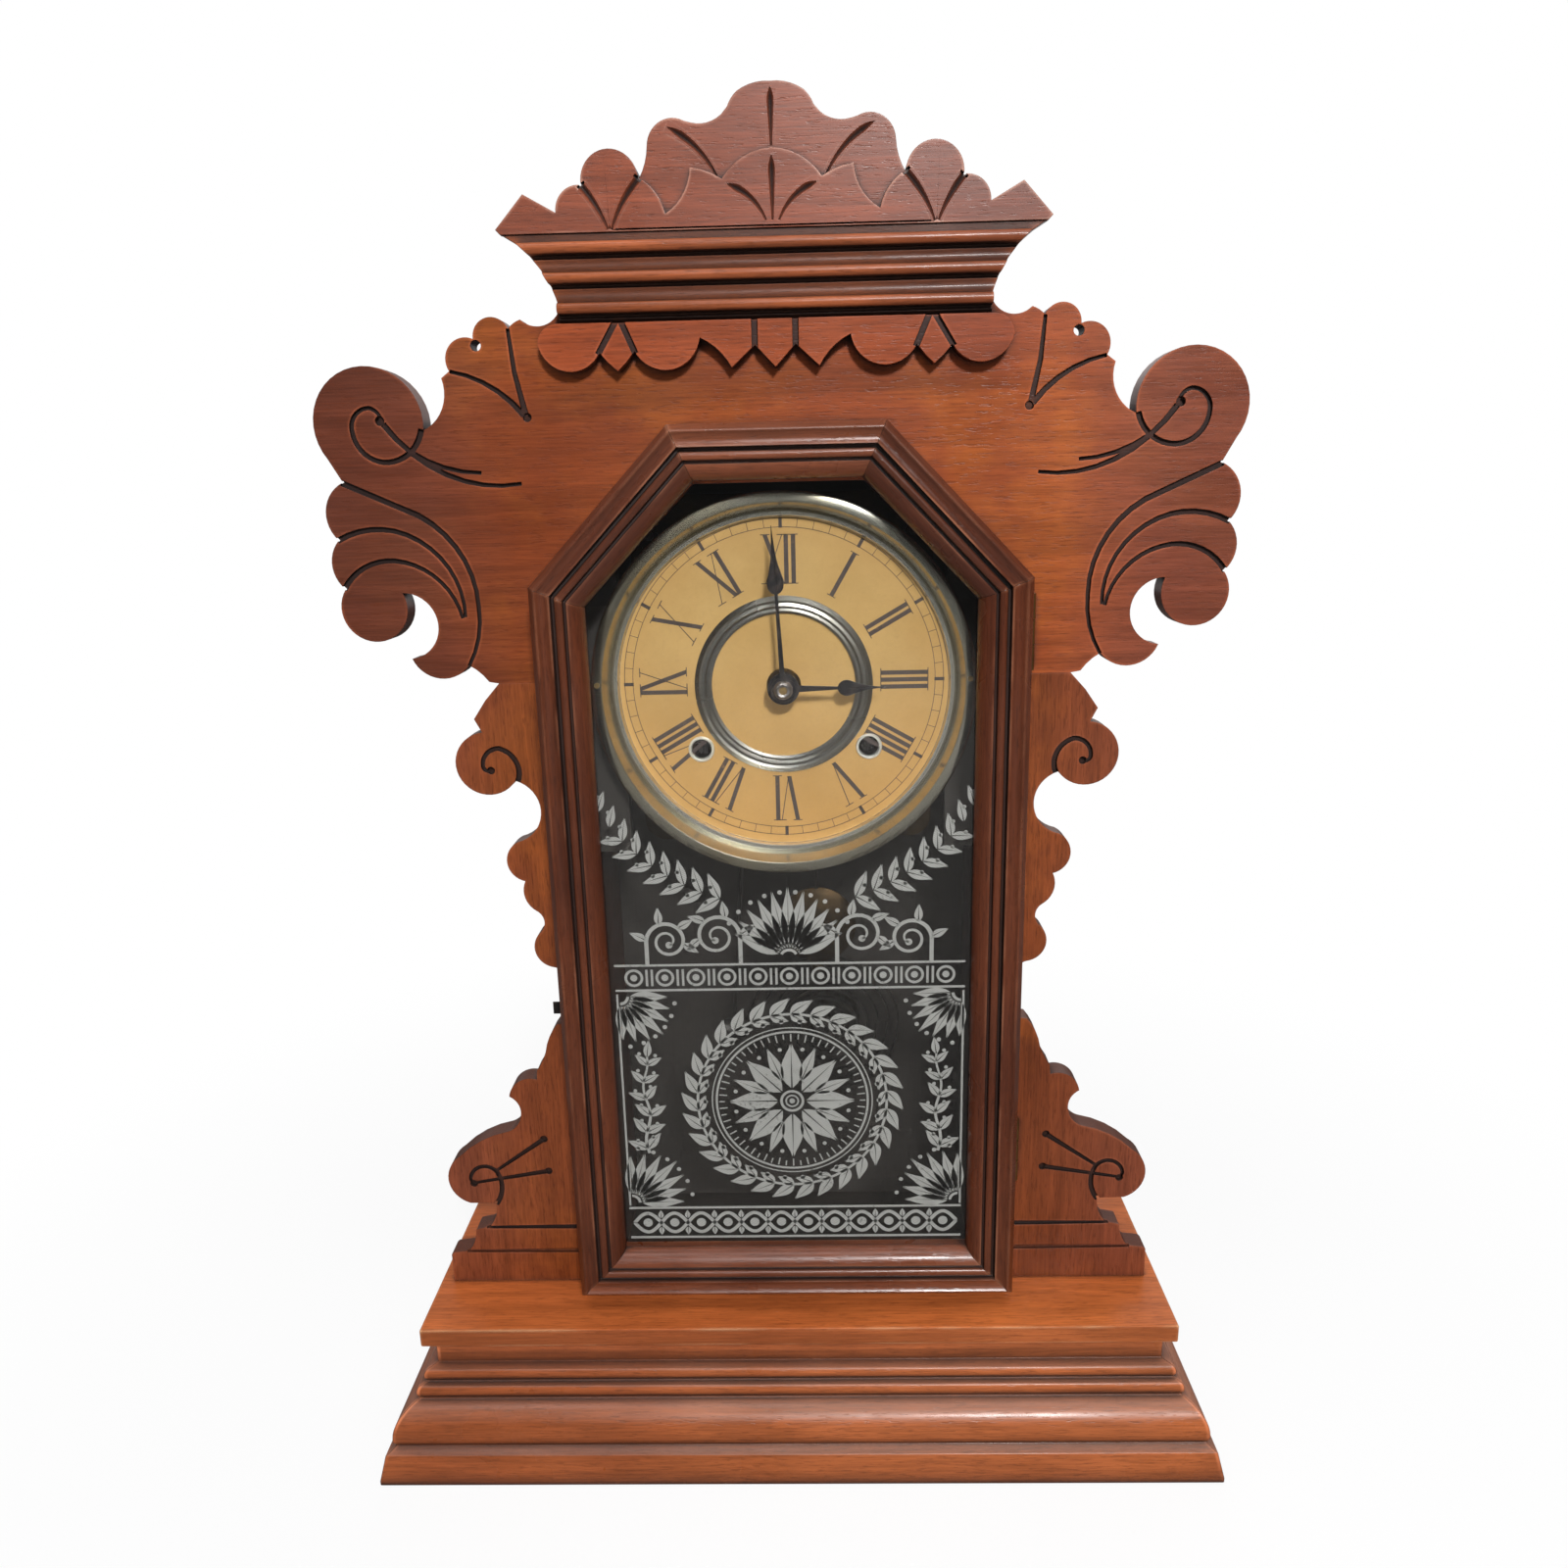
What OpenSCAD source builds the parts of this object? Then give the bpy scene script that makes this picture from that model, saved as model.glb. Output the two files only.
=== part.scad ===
// Gingerbread shelf clock: fretted wooden case, moulded eight-sided-top door, paper dial in a metal pan,
// eight-day striking movement with lantern pinions, pendulum and coil gong.
// X runs to the right, Y to the back and Z up. The origin is the middle of the base's footprint.

/* [Base] */
// Width of the base at the floor
base_width = 364; // [356:1:372]
// Depth of the base at the floor
base_depth = 125; // [120:1:132]
// Height of the base moulding under the shelf
base_height = 56; // [52:1:62]
// Thickness of the wood behind the moulding
base_wood = 32; // [28:1:38]
// Thickness of the shelf board
shelf_thickness = 8.4; // [7:0.2:12]
// How far the shelf's edge stands back from the base at the floor
shelf_inset = 17.5; // [12:0.5:21]

/* [Case] */
// Thickness of the front panel, frets and crown
board_thickness = 9.5; // [8:0.5:12]
// Outer width of the case box behind the panel
case_width = 180; // [176:1:186]
// Thickness of the case sides and top
case_wall = 8; // [6:0.5:10]
// Thickness of the back board
back_thickness = 8; // [6:0.5:9]
// Height of the case sides above the door's top edge
head_room = 13; // [8:0.5:18]
// Depth of the carved lines
groove_depth = 1.5; // [0.8:0.1:2]
// Width of the carved lines
groove_width = 2.3; // [1.6:0.1:2.6]
// Thickness of the scalloped apron under the cornice
apron_thickness = 6; // [4:0.5:7]
// How far the crown's lower layer stands proud of its upper field
crown_relief = 2; // [1.4:0.1:2.6]

/* [Door] */
// Width of the door
door_width = 190; // [188:1:191]
// Gap between the shelf and the door's lower edge
door_gap = 7; // [4:0.5:12]
// Height of the door
door_height = 368; // [362:1:372]
// Width of the door's top edge between its slanting members
door_top = 80; // [72:1:88]
// Height of the door's slanting members
door_slant = 57.5; // [50:0.5:62]
// Width of the door's frame members
door_member = 20; // [19:0.5:22]
// Thickness of the door
door_thickness = 21.3; // [20:0.1:24]
// Thickness of the glass
glass_thickness = 2; // [1.6:0.1:3]
// Length of the hinges
hinge_length = 30; // [24:1:36]

/* [Dial] */
// Distance from the door's top edge down to the dial's centre
dial_drop = 100.9; // [99:0.1:103]
// Outer radius of the dial pan
dial_radius = 77; // [76:0.2:78]
// Radius of the dial paper
paper_radius = 66.8; // [65.4:0.2:66.8]
// Outer radius of the reeded centre ring
ring_radius = 36.2; // [35.4:0.2:38]
// Length of the minute hand from its axis
minute_length = 64; // [58:0.5:65]
// Length of the hour hand from its axis
hour_length = 41; // [38:0.5:46]

/* [Movement] */
// Distance from the panel's front face to the front plate
plate_setback = 26; // [25:0.2:27]
// Thickness of the movement plates
plate_thickness = 1.5; // [1.2:0.1:2]
// Distance between the plates
plate_gap = 30.5; // [30:0.1:31]
// Depth of the battens between the back plate and the back board
batten_depth = 7.1; // [6.6:0.1:9]
// Radius of the wheel pivots
pivot_radius = 0.9; // [0.7:0.05:1.1]
// Radius of the winding arbors
winding_radius = 3; // [2.6:0.1:3.4]
// Number of turns in each mainspring
spring_turns = 7; // [5:1:8]
// Thickness of the mainspring's steel strip
spring_strip = 0.5; // [0.4:0.05:0.6]
// Length of the pendulum from its bending point to the middle of its bob
pendulum_length = 172; // [160:1:180]
// Radius of the pendulum bob
bob_radius = 17; // [14:0.5:20]
// Outer radius of the gong coil
gong_radius = 38; // [34:0.5:40]
// Number of turns in the gong coil
gong_turns = 6; // [4:1:7]

/* [Hidden] */
$fn = 48;

// Clearances
pivot_clearance = 0.08;
seat_clearance = 0.3;
end_shake = 0.4;

// Colours
wood = "#8a4a2c";
dark_wood = "#6e3222";
brass = "#b08d4a";
steel = "#6d7078";
silver = "#b9bcb4";
black_iron = "#2b2927";
paper = "#d8b878";
clear = "#9fb0ae";

// Derived places: case things stand on the shelf, with Y measured from the panel's front face
shelf_top = base_height + shelf_thickness;
inner_back = plate_setback + 2 * plate_thickness + plate_gap + batten_depth;
case_back = inner_back + back_thickness;
panel_y = base_depth / 2 - case_back;
inner_half = case_width / 2 - case_wall;
door_head = door_gap + door_height;
dial_height = door_head - dial_drop;
case_height = door_head + head_room;
opening_half = 80;
opening_reach = 80;

// Heights on the front panel and crown, from the door's top edge
seam = -96.7;
neck_half = 79.4;
neck_top = 48.6;
cornice_bottom = 37.2;
cornice_top = 68.1;

// Height of the seam above the shelf, and how much it stretches the frets from the height they are drawn at
seam_z = door_head + seam;
fret_drawn = 278.3;
fret_stretch = seam_z / fret_drawn;
function stretched(corners) = [for (c = corners) [c.x, c.y * fret_stretch, c[2]]];

// Points of an arc about a centre, from one angle to another
function polar(r, a) = [r * cos(a), r * sin(a)];
function arc(c, r, a0, a1, n) = [for (i = [0:n]) c + polar(r, a0 + (a1 - a0) * i / n)];
function mirrored(points) = [for (i = [len(points) - 1:-1:0]) [-points[i].x, points[i].y]];
function flat(p) = [p.x, p.y];

// Angle between the steps of a drawn arc
arc_step = 9;

// Points of an arc from a to b that stands off the chord's middle by rise, to the left of the way from a to b
function bow(a, b, rise) =
  let (
    chord = b - a,
    half = norm(chord) / 2,
    left = [-chord.y, chord.x] / norm(chord),
    r = (half * half + rise * rise) / (2 * rise),
    centre = (a + b) / 2 + left * (rise - r),
    from = atan2(a.y - centre.y, a.x - centre.x),
    sweep = -4 * atan(rise / half),
    n = max(2, ceil(abs(sweep) / arc_step))
  )
  [for (i = [0:n - 1]) centre + polar(abs(r), from + sweep * i / n)];

// A path of corners [x, z, rise]: each stretch to the next corner is straight, or an arc with that rise
function path(corners, closed = false) =
  let (n = len(corners), last = closed ? n - 1 : n - 2)
  [
    for (i = [0:last])
      let (a = flat(corners[i]), b = flat(corners[(i + 1) % n]), rise = corners[i][2])
      each (rise == undef || rise == 0 ? [a] : bow(a, b, rise)),
    if (!closed) flat(corners[n - 1])
  ];

// A ribbon along a path, with its width at each end
function ribbon(p, w0, w1) =
  let (
    n = len(p) - 1,
    side = [
      for (i = [0:n])
        let (d = p[min(i + 1, n)] - p[max(i - 1, 0)])
        [-d.y, d.x] / norm(d) * (w0 + (w1 - w0) * i / n) / 2
    ]
  )
  [each [for (i = [0:n]) p[i] + side[i]], each [for (i = [n:-1:0]) p[i] - side[i]]];

// Places the case's own things: on the shelf, with Y from the panel's front face
module on_shelf() translate([0, panel_y, shelf_top]) children();

// Places the front panel and crown: Z from the door's top edge
module on_head() translate([0, panel_y, shelf_top + door_head]) children();

// Places the movement and dial: Z from the dial's centre
module at_dial() translate([0, panel_y, shelf_top + dial_height]) children();

// An X-Z outline made solid from y back to y + t
module slab(y, t) translate([0, y + t, 0]) rotate([90, 0, 0]) linear_extrude(t) children();

// A round bar along Y at p = [x, z]
module bar(p, y0, y1, r) translate([p.x, y1, p.y]) rotate([90, 0, 0]) cylinder(h = y1 - y0, r = r);

// A turned form about Y at p = [x, z], from a profile of [radius, y]
module turned(p, profile)
  translate([p.x, 0, p.y])
    rotate([90, 0, 0])
      rotate_extrude($fn = 96)
        polygon([for (q = profile) [q.x, -q.y]]);

module both_sides() {
  children();
  mirror([1, 0, 0]) children();
}

// Carved lines and drilled dots, cut from the face at y
module carve(lines, dots, y = 0, w0 = groove_width, w1 = groove_width * 0.6) {
  for (line = lines)
    slab(y - 1, 1 + groove_depth) polygon(ribbon(path(line), w0, w1));
  for (dot = dots)
    bar([dot.x, dot.y], y - 1, y + groove_depth * 1.5, dot[2]);
}

// Base: a mitred moulding on three sides under a shelf board

base_profile = path([
  [0, 0], [0, 2], [2.6, 13], [4.6, 13.8], [6.4, 15.2], [5.4, 17.2, 2.75], [13.6, base_height - 25],
  [15, base_height - 24.6], [15.4, base_height - 24, 1], [15.4, base_height - 18.6],
  [18, base_height - 18.1], [18.4, base_height - 17.6, 1], [18.4, base_height - 12.6],
  [22.5, base_height - 11.6], [22.5, base_height], [base_wood, base_height], [base_wood, 0]
], closed = true);
base_half = base_width / 2;
base_front = -base_depth / 2;

module base_front_moulding()
  color(wood)
    intersection() {
      translate([-base_half, base_front, 0])
        rotate([90, 0, 90])
          linear_extrude(base_width)
            polygon(base_profile);
      linear_extrude(base_height)
        polygon([
          [-base_half, base_front], [base_half, base_front],
          [base_half - base_wood, base_front + base_wood],
          [base_wood - base_half, base_front + base_wood]
        ]);
    }

module base_side_mouldings()
  color(wood)
    both_sides()
      intersection() {
        translate([base_half, -base_front, 0])
          rotate([90, 0, 0])
            linear_extrude(base_depth)
              polygon([for (q = base_profile) [-q.x, q.y]]);
        linear_extrude(base_height)
          polygon([
            [base_half, base_front], [base_half, -base_front], [base_half - base_wood, -base_front],
            [base_half - base_wood, base_front + base_wood]
          ]);
      }

module base_shelf()
  color(wood)
    translate([shelf_inset - base_half, base_front + shelf_inset, base_height])
      cube([base_width - 2 * shelf_inset, base_depth - shelf_inset, shelf_thickness]);

// Case box behind the fretwork

module case_sides()
  color(wood)
    on_shelf()
      both_sides()
        translate([inner_half, board_thickness, 0])
          cube([case_wall, inner_back - board_thickness, case_height]);

module case_top()
  color(wood)
    on_shelf()
      translate([-case_width / 2, board_thickness, case_height])
        cube([case_width, case_back - board_thickness, case_wall]);

module back_board()
  color(dark_wood)
    on_shelf()
      translate([-case_width / 2, inner_back, 0])
        cube([case_width, back_thickness, case_height]);

// Upper front panel: right half of its outline, from the neck under the crown round the ear to the seam

panel_outline = path([
  [neck_half, neck_top], [neck_half, 44, -4.6], [94.8, 39.5, 0.4], [99.5, 36.5, 5.8],
  [113, 33.2, 5.4], [123, 22], [126.2, 19.6, -3.9], [134.8, 1, 28.9], [172.7, -8.9],
  [168, -17.4, 5.8], [172.2, -39.2, 4], [171.7, -58.1, 20], [149.4, -60, -12.4], [148.1, -86.1, 6.7],
  [125.6, -89.1, -0.6], [118, -96], [114, seam], [opening_half, seam]
]);
opening_corner = opening_reach * tan(22.5);
opening_outline = [
  [opening_half, opening_corner - dial_drop], [opening_corner, opening_reach - dial_drop]
];
panel_lines = [
  [[95.3, 6, -0.9], [99.7, 36.5]],
  [[96, 5.6, 2.9], [122.8, 21.9]],
  [[135.6, 1.5, -3.1], [149.5, -10.4, -3.6], [162.2, 1.5, -2.4], [155, 9.6, -0.9], [150.6, 5.4]],
  [[150, 3.6, 0.5], [140.5, -6.8, 2], [114, -15.1]],
  [[139.8, -7.4, 4.8], [98.8, -19.4]],
  [[168.6, -17.6], [140, -30.4, -5.7], [119.6, -66, -1.9], [125.5, -89.4]],
  [[172.6, -39.4, -2.1], [150, -36.1, -7.6], [125.2, -70]],
  [[172.2, -58.2, -3.4], [151, -47.5, -5.6], [126.3, -70.4]]
];
panel_dots = [[94.8, 4.8, 1.7], [151.2, 4.8, 1.8]];
peep_hole = [112.2, 30.8];
peep_radius = 2;

module upper_panel()
  color(wood)
    on_head()
      difference() {
        slab(0, board_thickness)
          polygon([
            each panel_outline, each opening_outline,
            each mirrored(opening_outline), each mirrored(panel_outline)
          ]);
        both_sides() {
          carve(panel_lines, panel_dots);
          bar(peep_hole, -1, board_thickness + 1, peep_radius);
        }
      }

// Side frets: right one's outline, from the seam down to its stepped foot on the shelf

waist_half = 96.5;
waist_drawn = 145;
waist_z = waist_drawn * fret_stretch;
hook_room = 15.6;
fret_outline = path(stretched([
  [opening_half, 0], [opening_half, fret_drawn], [114.2, fret_drawn, 0.6], [125.6, 263.9], [122.8, 258.4, 18.8],
  [110.8, 237.9, -10.1], [112, 211.6, 6.1], [110.2, 194.4, 2.6], [106.5, 181.1, -2.8],
  [106, 170.9, 5.1], [100.5, 155.3, -0.8], [waist_half, waist_drawn + 6.5],
  [waist_half, waist_drawn - hook_room / fret_stretch],
  [101.6, waist_drawn - (hook_room + 0.8) / fret_stretch, 1],
  [107.5, 115.6, -0.4], [112, 106.6], [112.4, 102.2, 3.6], [125.3, 94.1, -1.9],
  [121, 84.2, -1.3], [127, 76.8, 2], [150, 64.6, 7.6], [147.3, 40.8], [135.5, 40.6, -1.3],
  [139.5, 28.3], [145.5, 27], [146, 26.5, -0.9], [150, 15.8], [157.5, 14.8], [158.5, 13.8], [158.5, 0]
]), closed = true);
fret_lines = [
  [[109.8, 237.6, 3.5], [116.5, 251.6, 2.4], [123.6, 244, 0.7], [120.8, 242.2]],
  [[135.6, 40, 2.3], [133.6, 56, 4.4], [146, 54, 0.5], [144.8, 51]],
  [[111.5, 72.9], [135, 56.6]],
  [[110.5, 56.8], [143.5, 51.3]],
  [[97, 28.1], [141, 28.1]],
  [[97, 15.6], [151, 15.6]]
];
fret_dots = [[120.5, 242.4, 1.6], [144.8, 50.8, 1.7], [111.5, 72.9, 1.7], [110.5, 56.8, 1.7]];

module fret()
  on_shelf()
    difference() {
      slab(0, board_thickness) polygon(fret_outline);
      carve([for (line = fret_lines) stretched(line)], stretched(fret_dots));
    }

module side_frets()
  color(wood) {
    fret();
    difference() {
      mirror([1, 0, 0]) fret();
      on_shelf()
        translate([-waist_half - 1, hook_y, hook_z])
          rotate([0, 90, 0])
            cylinder(h = hook_bite + 1, r = hook_screw_radius);
    }
  }

// Crown: a moulded cornice over the panel's neck, with the carved pediment board standing behind it

cornice_profile = path([
  [0, cornice_bottom], [-2.6, cornice_bottom], [-4.4, 38.4], [-3.4, 38.7], [-3.4, 39.7], [-6.8, 40, 1.2],
  [-6.8, 43.8], [-5.2, 44.2, -0.9], [-4.2, 48.8], [-3.2, 49.1], [-3.2, 50.1], [-6.6, 50.4, 1.2],
  [-6.6, 54.2], [-5, 54.6, -0.9], [-4, 58.9], [-3, 59.2], [-3, 60.2], [-6.4, 60.5, 1.2], [-6.4, 64.4],
  [-1.2, 64.8], [-1.2, cornice_top], [0, cornice_top]
], closed = true);
cornice_side = path([[98.6, cornice_top, -3], [neck_half, 44], [neck_half, cornice_bottom]]);

module crown_cornice()
  color(wood)
    on_head()
      intersection() {
        translate([-base_half, 0, 0])
          rotate([90, 0, 90])
            linear_extrude(base_width)
              polygon(cornice_profile);
        slab(-10, 10) polygon([each cornice_side, each mirrored(cornice_side)]);
      }

crown_dome = path([
  [0, 116, 1], [11.8, 113.2, 0.4], [15.4, 108.3], [17.6, 105.9, -0.9], [26.5, 103.2, -0.1],
  [31, 104.2, 4.3], [44.6, 96.3, -0.7], [48, 85.8]
]);
crown_lobes = path([[48, 85.8, 10.6], [68.8, 83.9, 3.1], [78.6, 75], [90.2, 81.4], [101, 69.8]]);
crown_side = path([[101, 69.8, -2.6], [81.3, neck_top]]);
crown_layer = path([[0, 94.3, 2.4], [18, 84.6, 0.7], [29.4, 88.6, -2.3], [38.8, 73.6, 1.7], [48, 85.8]]);
dome_lines = [[[0, 114], [0, 95.3]], [[37, 102, -2.2], [19.5, 85.3]]];
layer_lines = [
  [[0, 91.6], [0, 70.6]], [[16, 82.6, -2.2], [2.4, 70.6]], [[47.8, 86, 1], [58.4, 69]],
  [[69, 84.2, -0.7], [59.8, 69]]
];

module crown_pediment()
  color(wood)
    on_head()
      difference() {
        union() {
          slab(0, board_thickness)
            let (half = [each crown_dome, each crown_lobes, each crown_side])
              polygon([each half, each mirrored(half)]);
          slab(-crown_relief, crown_relief + 1)
            let (half = [each crown_layer, each crown_lobes, [99.4, cornice_top]])
              polygon([each half, each mirrored(half)]);
        }
        both_sides() {
          carve(dome_lines, [], w0 = groove_width * 1.4, w1 = groove_width * 0.5);
          carve(layer_lines, [], y = -crown_relief, w0 = groove_width * 1.4, w1 = groove_width * 0.5);
        }
      }

// Scalloped apron on the panel under the cornice

apron_top = 36.8;
apron_outline = path([
  [80.5, apron_top, 1.9], [87.6, 30, 8.2], [65, 26.6, 0.3], [58.4, 19.9, 0.3], [52, 26.8, 8.9],
  [27.7, 30.9, -1.3], [16.2, 20.2], [7.5, 28], [0, 20.1]
]);
apron_lines = [
  [[7.5, 27], [7.5, apron_top + 1]], [[51.6, 25.9], [56.7, apron_top + 1]],
  [[65.5, 25.8], [58, apron_top + 1]]
];

module scalloped_apron()
  color(wood)
    on_head()
      difference() {
        slab(-apron_thickness, apron_thickness)
          polygon([each apron_outline, each mirrored(apron_outline)]);
        both_sides() carve(apron_lines, [], y = -apron_thickness, w1 = groove_width);
      }

// Dial: a stamped pan with a stepped rim, nailed to strips inside the case, with its paper and ring

pan_sheet = 0.8;
disc_y = board_thickness - pan_sheet;
rim_y = -2.2;
paper_sheet = 0.3;
paper_y = disc_y - paper_sheet;
centre_hole = 7;
winding_spot = [34.5, -26];
grommet_radius = 5.4;
grommet_bore = 4.1;
grommet_sleeve = 4.55;
nail_spot = [dial_radius - 2.8, 3.1];
nail_radius = 0.6;
strip_width = 16;
strip_depth = 6.5;
strip_length = 140;

module dial_strips()
  color(dark_wood)
    at_dial()
      both_sides()
        difference() {
          translate([inner_half - strip_width, board_thickness, -strip_length / 2])
            cube([strip_width, strip_depth, strip_length]);
          bar(nail_spot, board_thickness - 1, board_thickness + strip_depth - 1, nail_radius);
        }

module winding_holes(y0, y1, r)
  both_sides()
    bar(winding_spot, y0, y1, r);

module dial_pan() {
  R = dial_radius;
  color(silver)
    at_dial()
      difference() {
        turned([0, 0], [
          [centre_hole, disc_y], [R - 10, disc_y], [R - 9.9, disc_y - 2], [R - 9.5, disc_y - 2.6],
          [R - 9, disc_y - 2.6], [R - 8.75, disc_y - 2.2], [R - 8.5, disc_y - 2.6], [R - 8, disc_y - 2.6],
          [R - 7.6, disc_y - 2], [R - 7.3, disc_y - 2.2], [R - 4.6, rim_y + 0.3], [R - 4.2, rim_y],
          [R - 1, rim_y], [R - 0.3, rim_y + 0.4], [R, rim_y + 1.2], [R, board_thickness],
          [R - pan_sheet, board_thickness], [R - pan_sheet, rim_y + 1.4], [R - 1.2, rim_y + pan_sheet],
          [R - 3.9, rim_y + pan_sheet], [R - 6.5, disc_y - 1.9], [R - 6.9, disc_y - 1.3],
          [R - 9.1, disc_y - 1.3], [R - 9.2, board_thickness], [centre_hole, board_thickness]
        ]);
        winding_holes(0, disc_y + 2, grommet_sleeve + 0.05);
        both_sides() bar(nail_spot, rim_y - 1, disc_y, nail_radius + 0.1);
      }
}

module dial_paper()
  color(paper)
    at_dial()
      difference() {
        turned([0, 0], [
          [centre_hole, paper_y], [paper_radius, paper_y], [paper_radius, disc_y], [centre_hole, disc_y]
        ]);
        winding_holes(0, disc_y + 2, grommet_sleeve + 0.05);
      }

module dial_centre_ring() {
  R = ring_radius;
  color(silver)
    at_dial()
      turned([0, 0], [
        [R - 7, paper_y], [R - 7, paper_y - 0.7], [R - 6, paper_y - 1.3], [R - 5, paper_y - 0.8],
        [R - 4, paper_y - 1.7], [R - 2.8, paper_y - 1.2], [R - 1.8, paper_y - 1.8],
        [R - 0.8, paper_y - 1.1], [R, paper_y - 0.5], [R, paper_y]
      ]);
}

module winding_grommets()
  color(silver)
    at_dial()
      both_sides()
        turned(winding_spot, [
          [grommet_bore, paper_y - 0.4], [grommet_bore + 0.4, paper_y - 0.9],
          [grommet_radius - 0.4, paper_y - 0.9], [grommet_radius, paper_y - 0.4],
          [grommet_radius, paper_y], [grommet_sleeve, paper_y], [grommet_sleeve, disc_y + 2],
          [grommet_bore, disc_y + 2]
        ]);

module dial_nails()
  color(brass)
    at_dial()
      both_sides() {
        bar(nail_spot, rim_y - 0.3, board_thickness + strip_depth - 2, nail_radius);
        bar(nail_spot, rim_y - 0.7, rim_y, 1.1);
      }

// Movement: arbor places as [x, z] from the dial's centre, each at its wheel's and pinion's pitch distance

front_y = plate_setback + plate_thickness;
back_y = front_y + plate_gap;
plate_half = 62;
plate_low = -70;
plate_high = 76;
module_great = 0.75;
module_second = 0.8;
module_centre = 0.55;
module_fourth = 0.5;
module_strike = 0.6;
module_fly = 0.5;
module_motion = 0.6;
module_hour = 0.576;
great_teeth = 72;
great_pinion = 12;
second_teeth = 40;
second_pinion = 16;
centre_teeth = 72;
centre_pinion = 8;
fourth_teeth = 72;
fourth_pinion = 6;
strike_teeth = 60;
strike_pinion = 8;
third_teeth = 56;
third_pinion = 7;
cannon_teeth = 12;
minute_teeth = 36;
minute_pinion = 10;
hour_teeth = 40;
escape_teeth = 40;
escape_radius = 14;

// Pitch distance of a wheel and its pinion, and the place at given distances from two others
function pitch(m, a, b) = m * (a + b) / 2;
function bearing(a, b) = atan2(b.y - a.y, b.x - a.x);
function meet(a, ra, b, rb, side) =
  let (d = norm(b - a), u = (ra * ra - rb * rb + d * d) / (2 * d), h = sqrt(ra * ra - u * u), e = (b - a) / d)
  a + e * u + side * h * [-e.y, e.x];

centre = [0, 0];
time_first = winding_spot;
strike_first = [-winding_spot.x, winding_spot.y];
great_reach = pitch(module_great, great_teeth, great_pinion);
time_second = meet(centre, pitch(module_second, second_teeth, second_pinion), time_first, great_reach, 1);
time_fourth = polar(pitch(module_centre, centre_teeth, centre_pinion), 80);
escape_x = 12;
escape_reach = pitch(module_fourth, fourth_teeth, fourth_pinion);
escape = [escape_x, time_fourth.y + sqrt(pow(escape_reach, 2) - pow(escape_x - time_fourth.x, 2))];
strike_second = strike_first + polar(great_reach, 80);
strike_third = strike_second + polar(pitch(module_strike, strike_teeth, strike_pinion), 75);
strike_fourth = strike_third + polar(pitch(module_fly, third_teeth, third_pinion), 100);
minute_stud = [-pitch(module_motion, cannon_teeth, minute_teeth), 0];
verge_stud = escape + [0, 16.8];
suspension = [escape_x, verge_stud.y + 9.8];
hammer_arbor = [-20, -58];
pillar_spots = [[54, -60], [-54, -60], [54, 60], [-54, 60]];
screw_spots = [[30, -66], [-30, -66], [30, 71], [-30, 71]];
pillar_radius = 3;
arbor_radius = 1.5;
centre_radius = 1.6;
screw_radius = 1.4;
stud_radius = 1.5;
verge_stud_radius = 1.2;

// Places of wheels and pinions along Y
great_y = front_y + 4.1;
great_thick = 1.6;
click_y = great_y + great_thick + 0.4;
click_thick = 1.6;
spring_y = front_y + 8.5;
spring_width = 16;
slow_y = front_y + 26;
wheel_thick = 1.4;
centre_wheel_y = front_y + 1.45;
centre_thick = 1.2;
wheel_gap = 0.35;
fourth_y = front_y + 10;
third_y = front_y + 16;
count_y = front_y + 0.9;
count_thick = 1.2;

// Outline of a toothed wheel whose first tooth points along the given bearing
tooth_high = 0.9;
tooth_deep = 1.2;
tooth_half = 0.65;
tooth_tip = 0.25;
trundle = 0.6;
function wheel_points(teeth, m, turn, high = tooth_high, half = tooth_half, tip = tooth_tip) =
  let (r = m * teeth / 2)
  [
    for (i = [0:teeth - 1], side = [-1, 1])
      let (
        flank = [[r - tooth_deep * m, 0.7], [r, half], [r + high * m, tip]],
        order = side < 0 ? [0, 1, 2] : [2, 1, 0]
      )
      each [
        for (k = order)
          polar(flank[k][0], turn + 360 * i / teeth + side * flank[k][1] * m / flank[k][0] * 180 / PI)
      ]
  ];

// Windows between the arms of a crossed-out wheel
module windows(r_in, r_out, arms, arm_width)
  for (i = [0:arms - 1])
    let (
      a_in = asin(arm_width / 2 / r_in),
      a_out = asin(arm_width / 2 / r_out),
      from = 360 * i / arms,
      to = 360 * (i + 1) / arms
    )
      polygon([
        each arc([0, 0], r_out, from + a_out, to - a_out, 8),
        each arc([0, 0], r_in, to - a_in, from + a_in, 4)
      ]);

module toothed(p, y, t, teeth, m, turn, arms = 4)
  translate([p.x, 0, p.y])
    slab(y, t)
      difference() {
        polygon(wheel_points(teeth, m, turn));
        windows(m * teeth * 0.16 + 1, m * teeth / 2 - 4.5 * m, arms, 2.6);
      }

// A lantern pinion: bars between two collets, with a gap between bars on the given bearing
collet = 0.7;
module lantern(p, y0, y1, n, m, turn) {
  r = m * n / 2;
  for (y = [y0, y1 - collet])
    bar(p, y, y + collet, r + (trundle + 0.4) * m);
  for (i = [0:n - 1])
    bar(p + polar(r, turn + (i + 0.5) * 360 / n), y0, y1, trundle * m);
}

// An arbor between the plates with a pivot at each end
module arbor(p, r = arbor_radius, y0 = front_y + end_shake, y1 = back_y - end_shake) {
  bar(p, y0, y1, r);
  bar(p, plate_setback - 0.5, back_y + plate_thickness + 0.5, pivot_radius);
}

module hub(p, y, t, r) bar(p, y - 0.6, y + t + 0.6, r);

function plain_arbors() = [time_second, time_fourth, strike_second, strike_third, strike_fourth, hammer_arbor];

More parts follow.
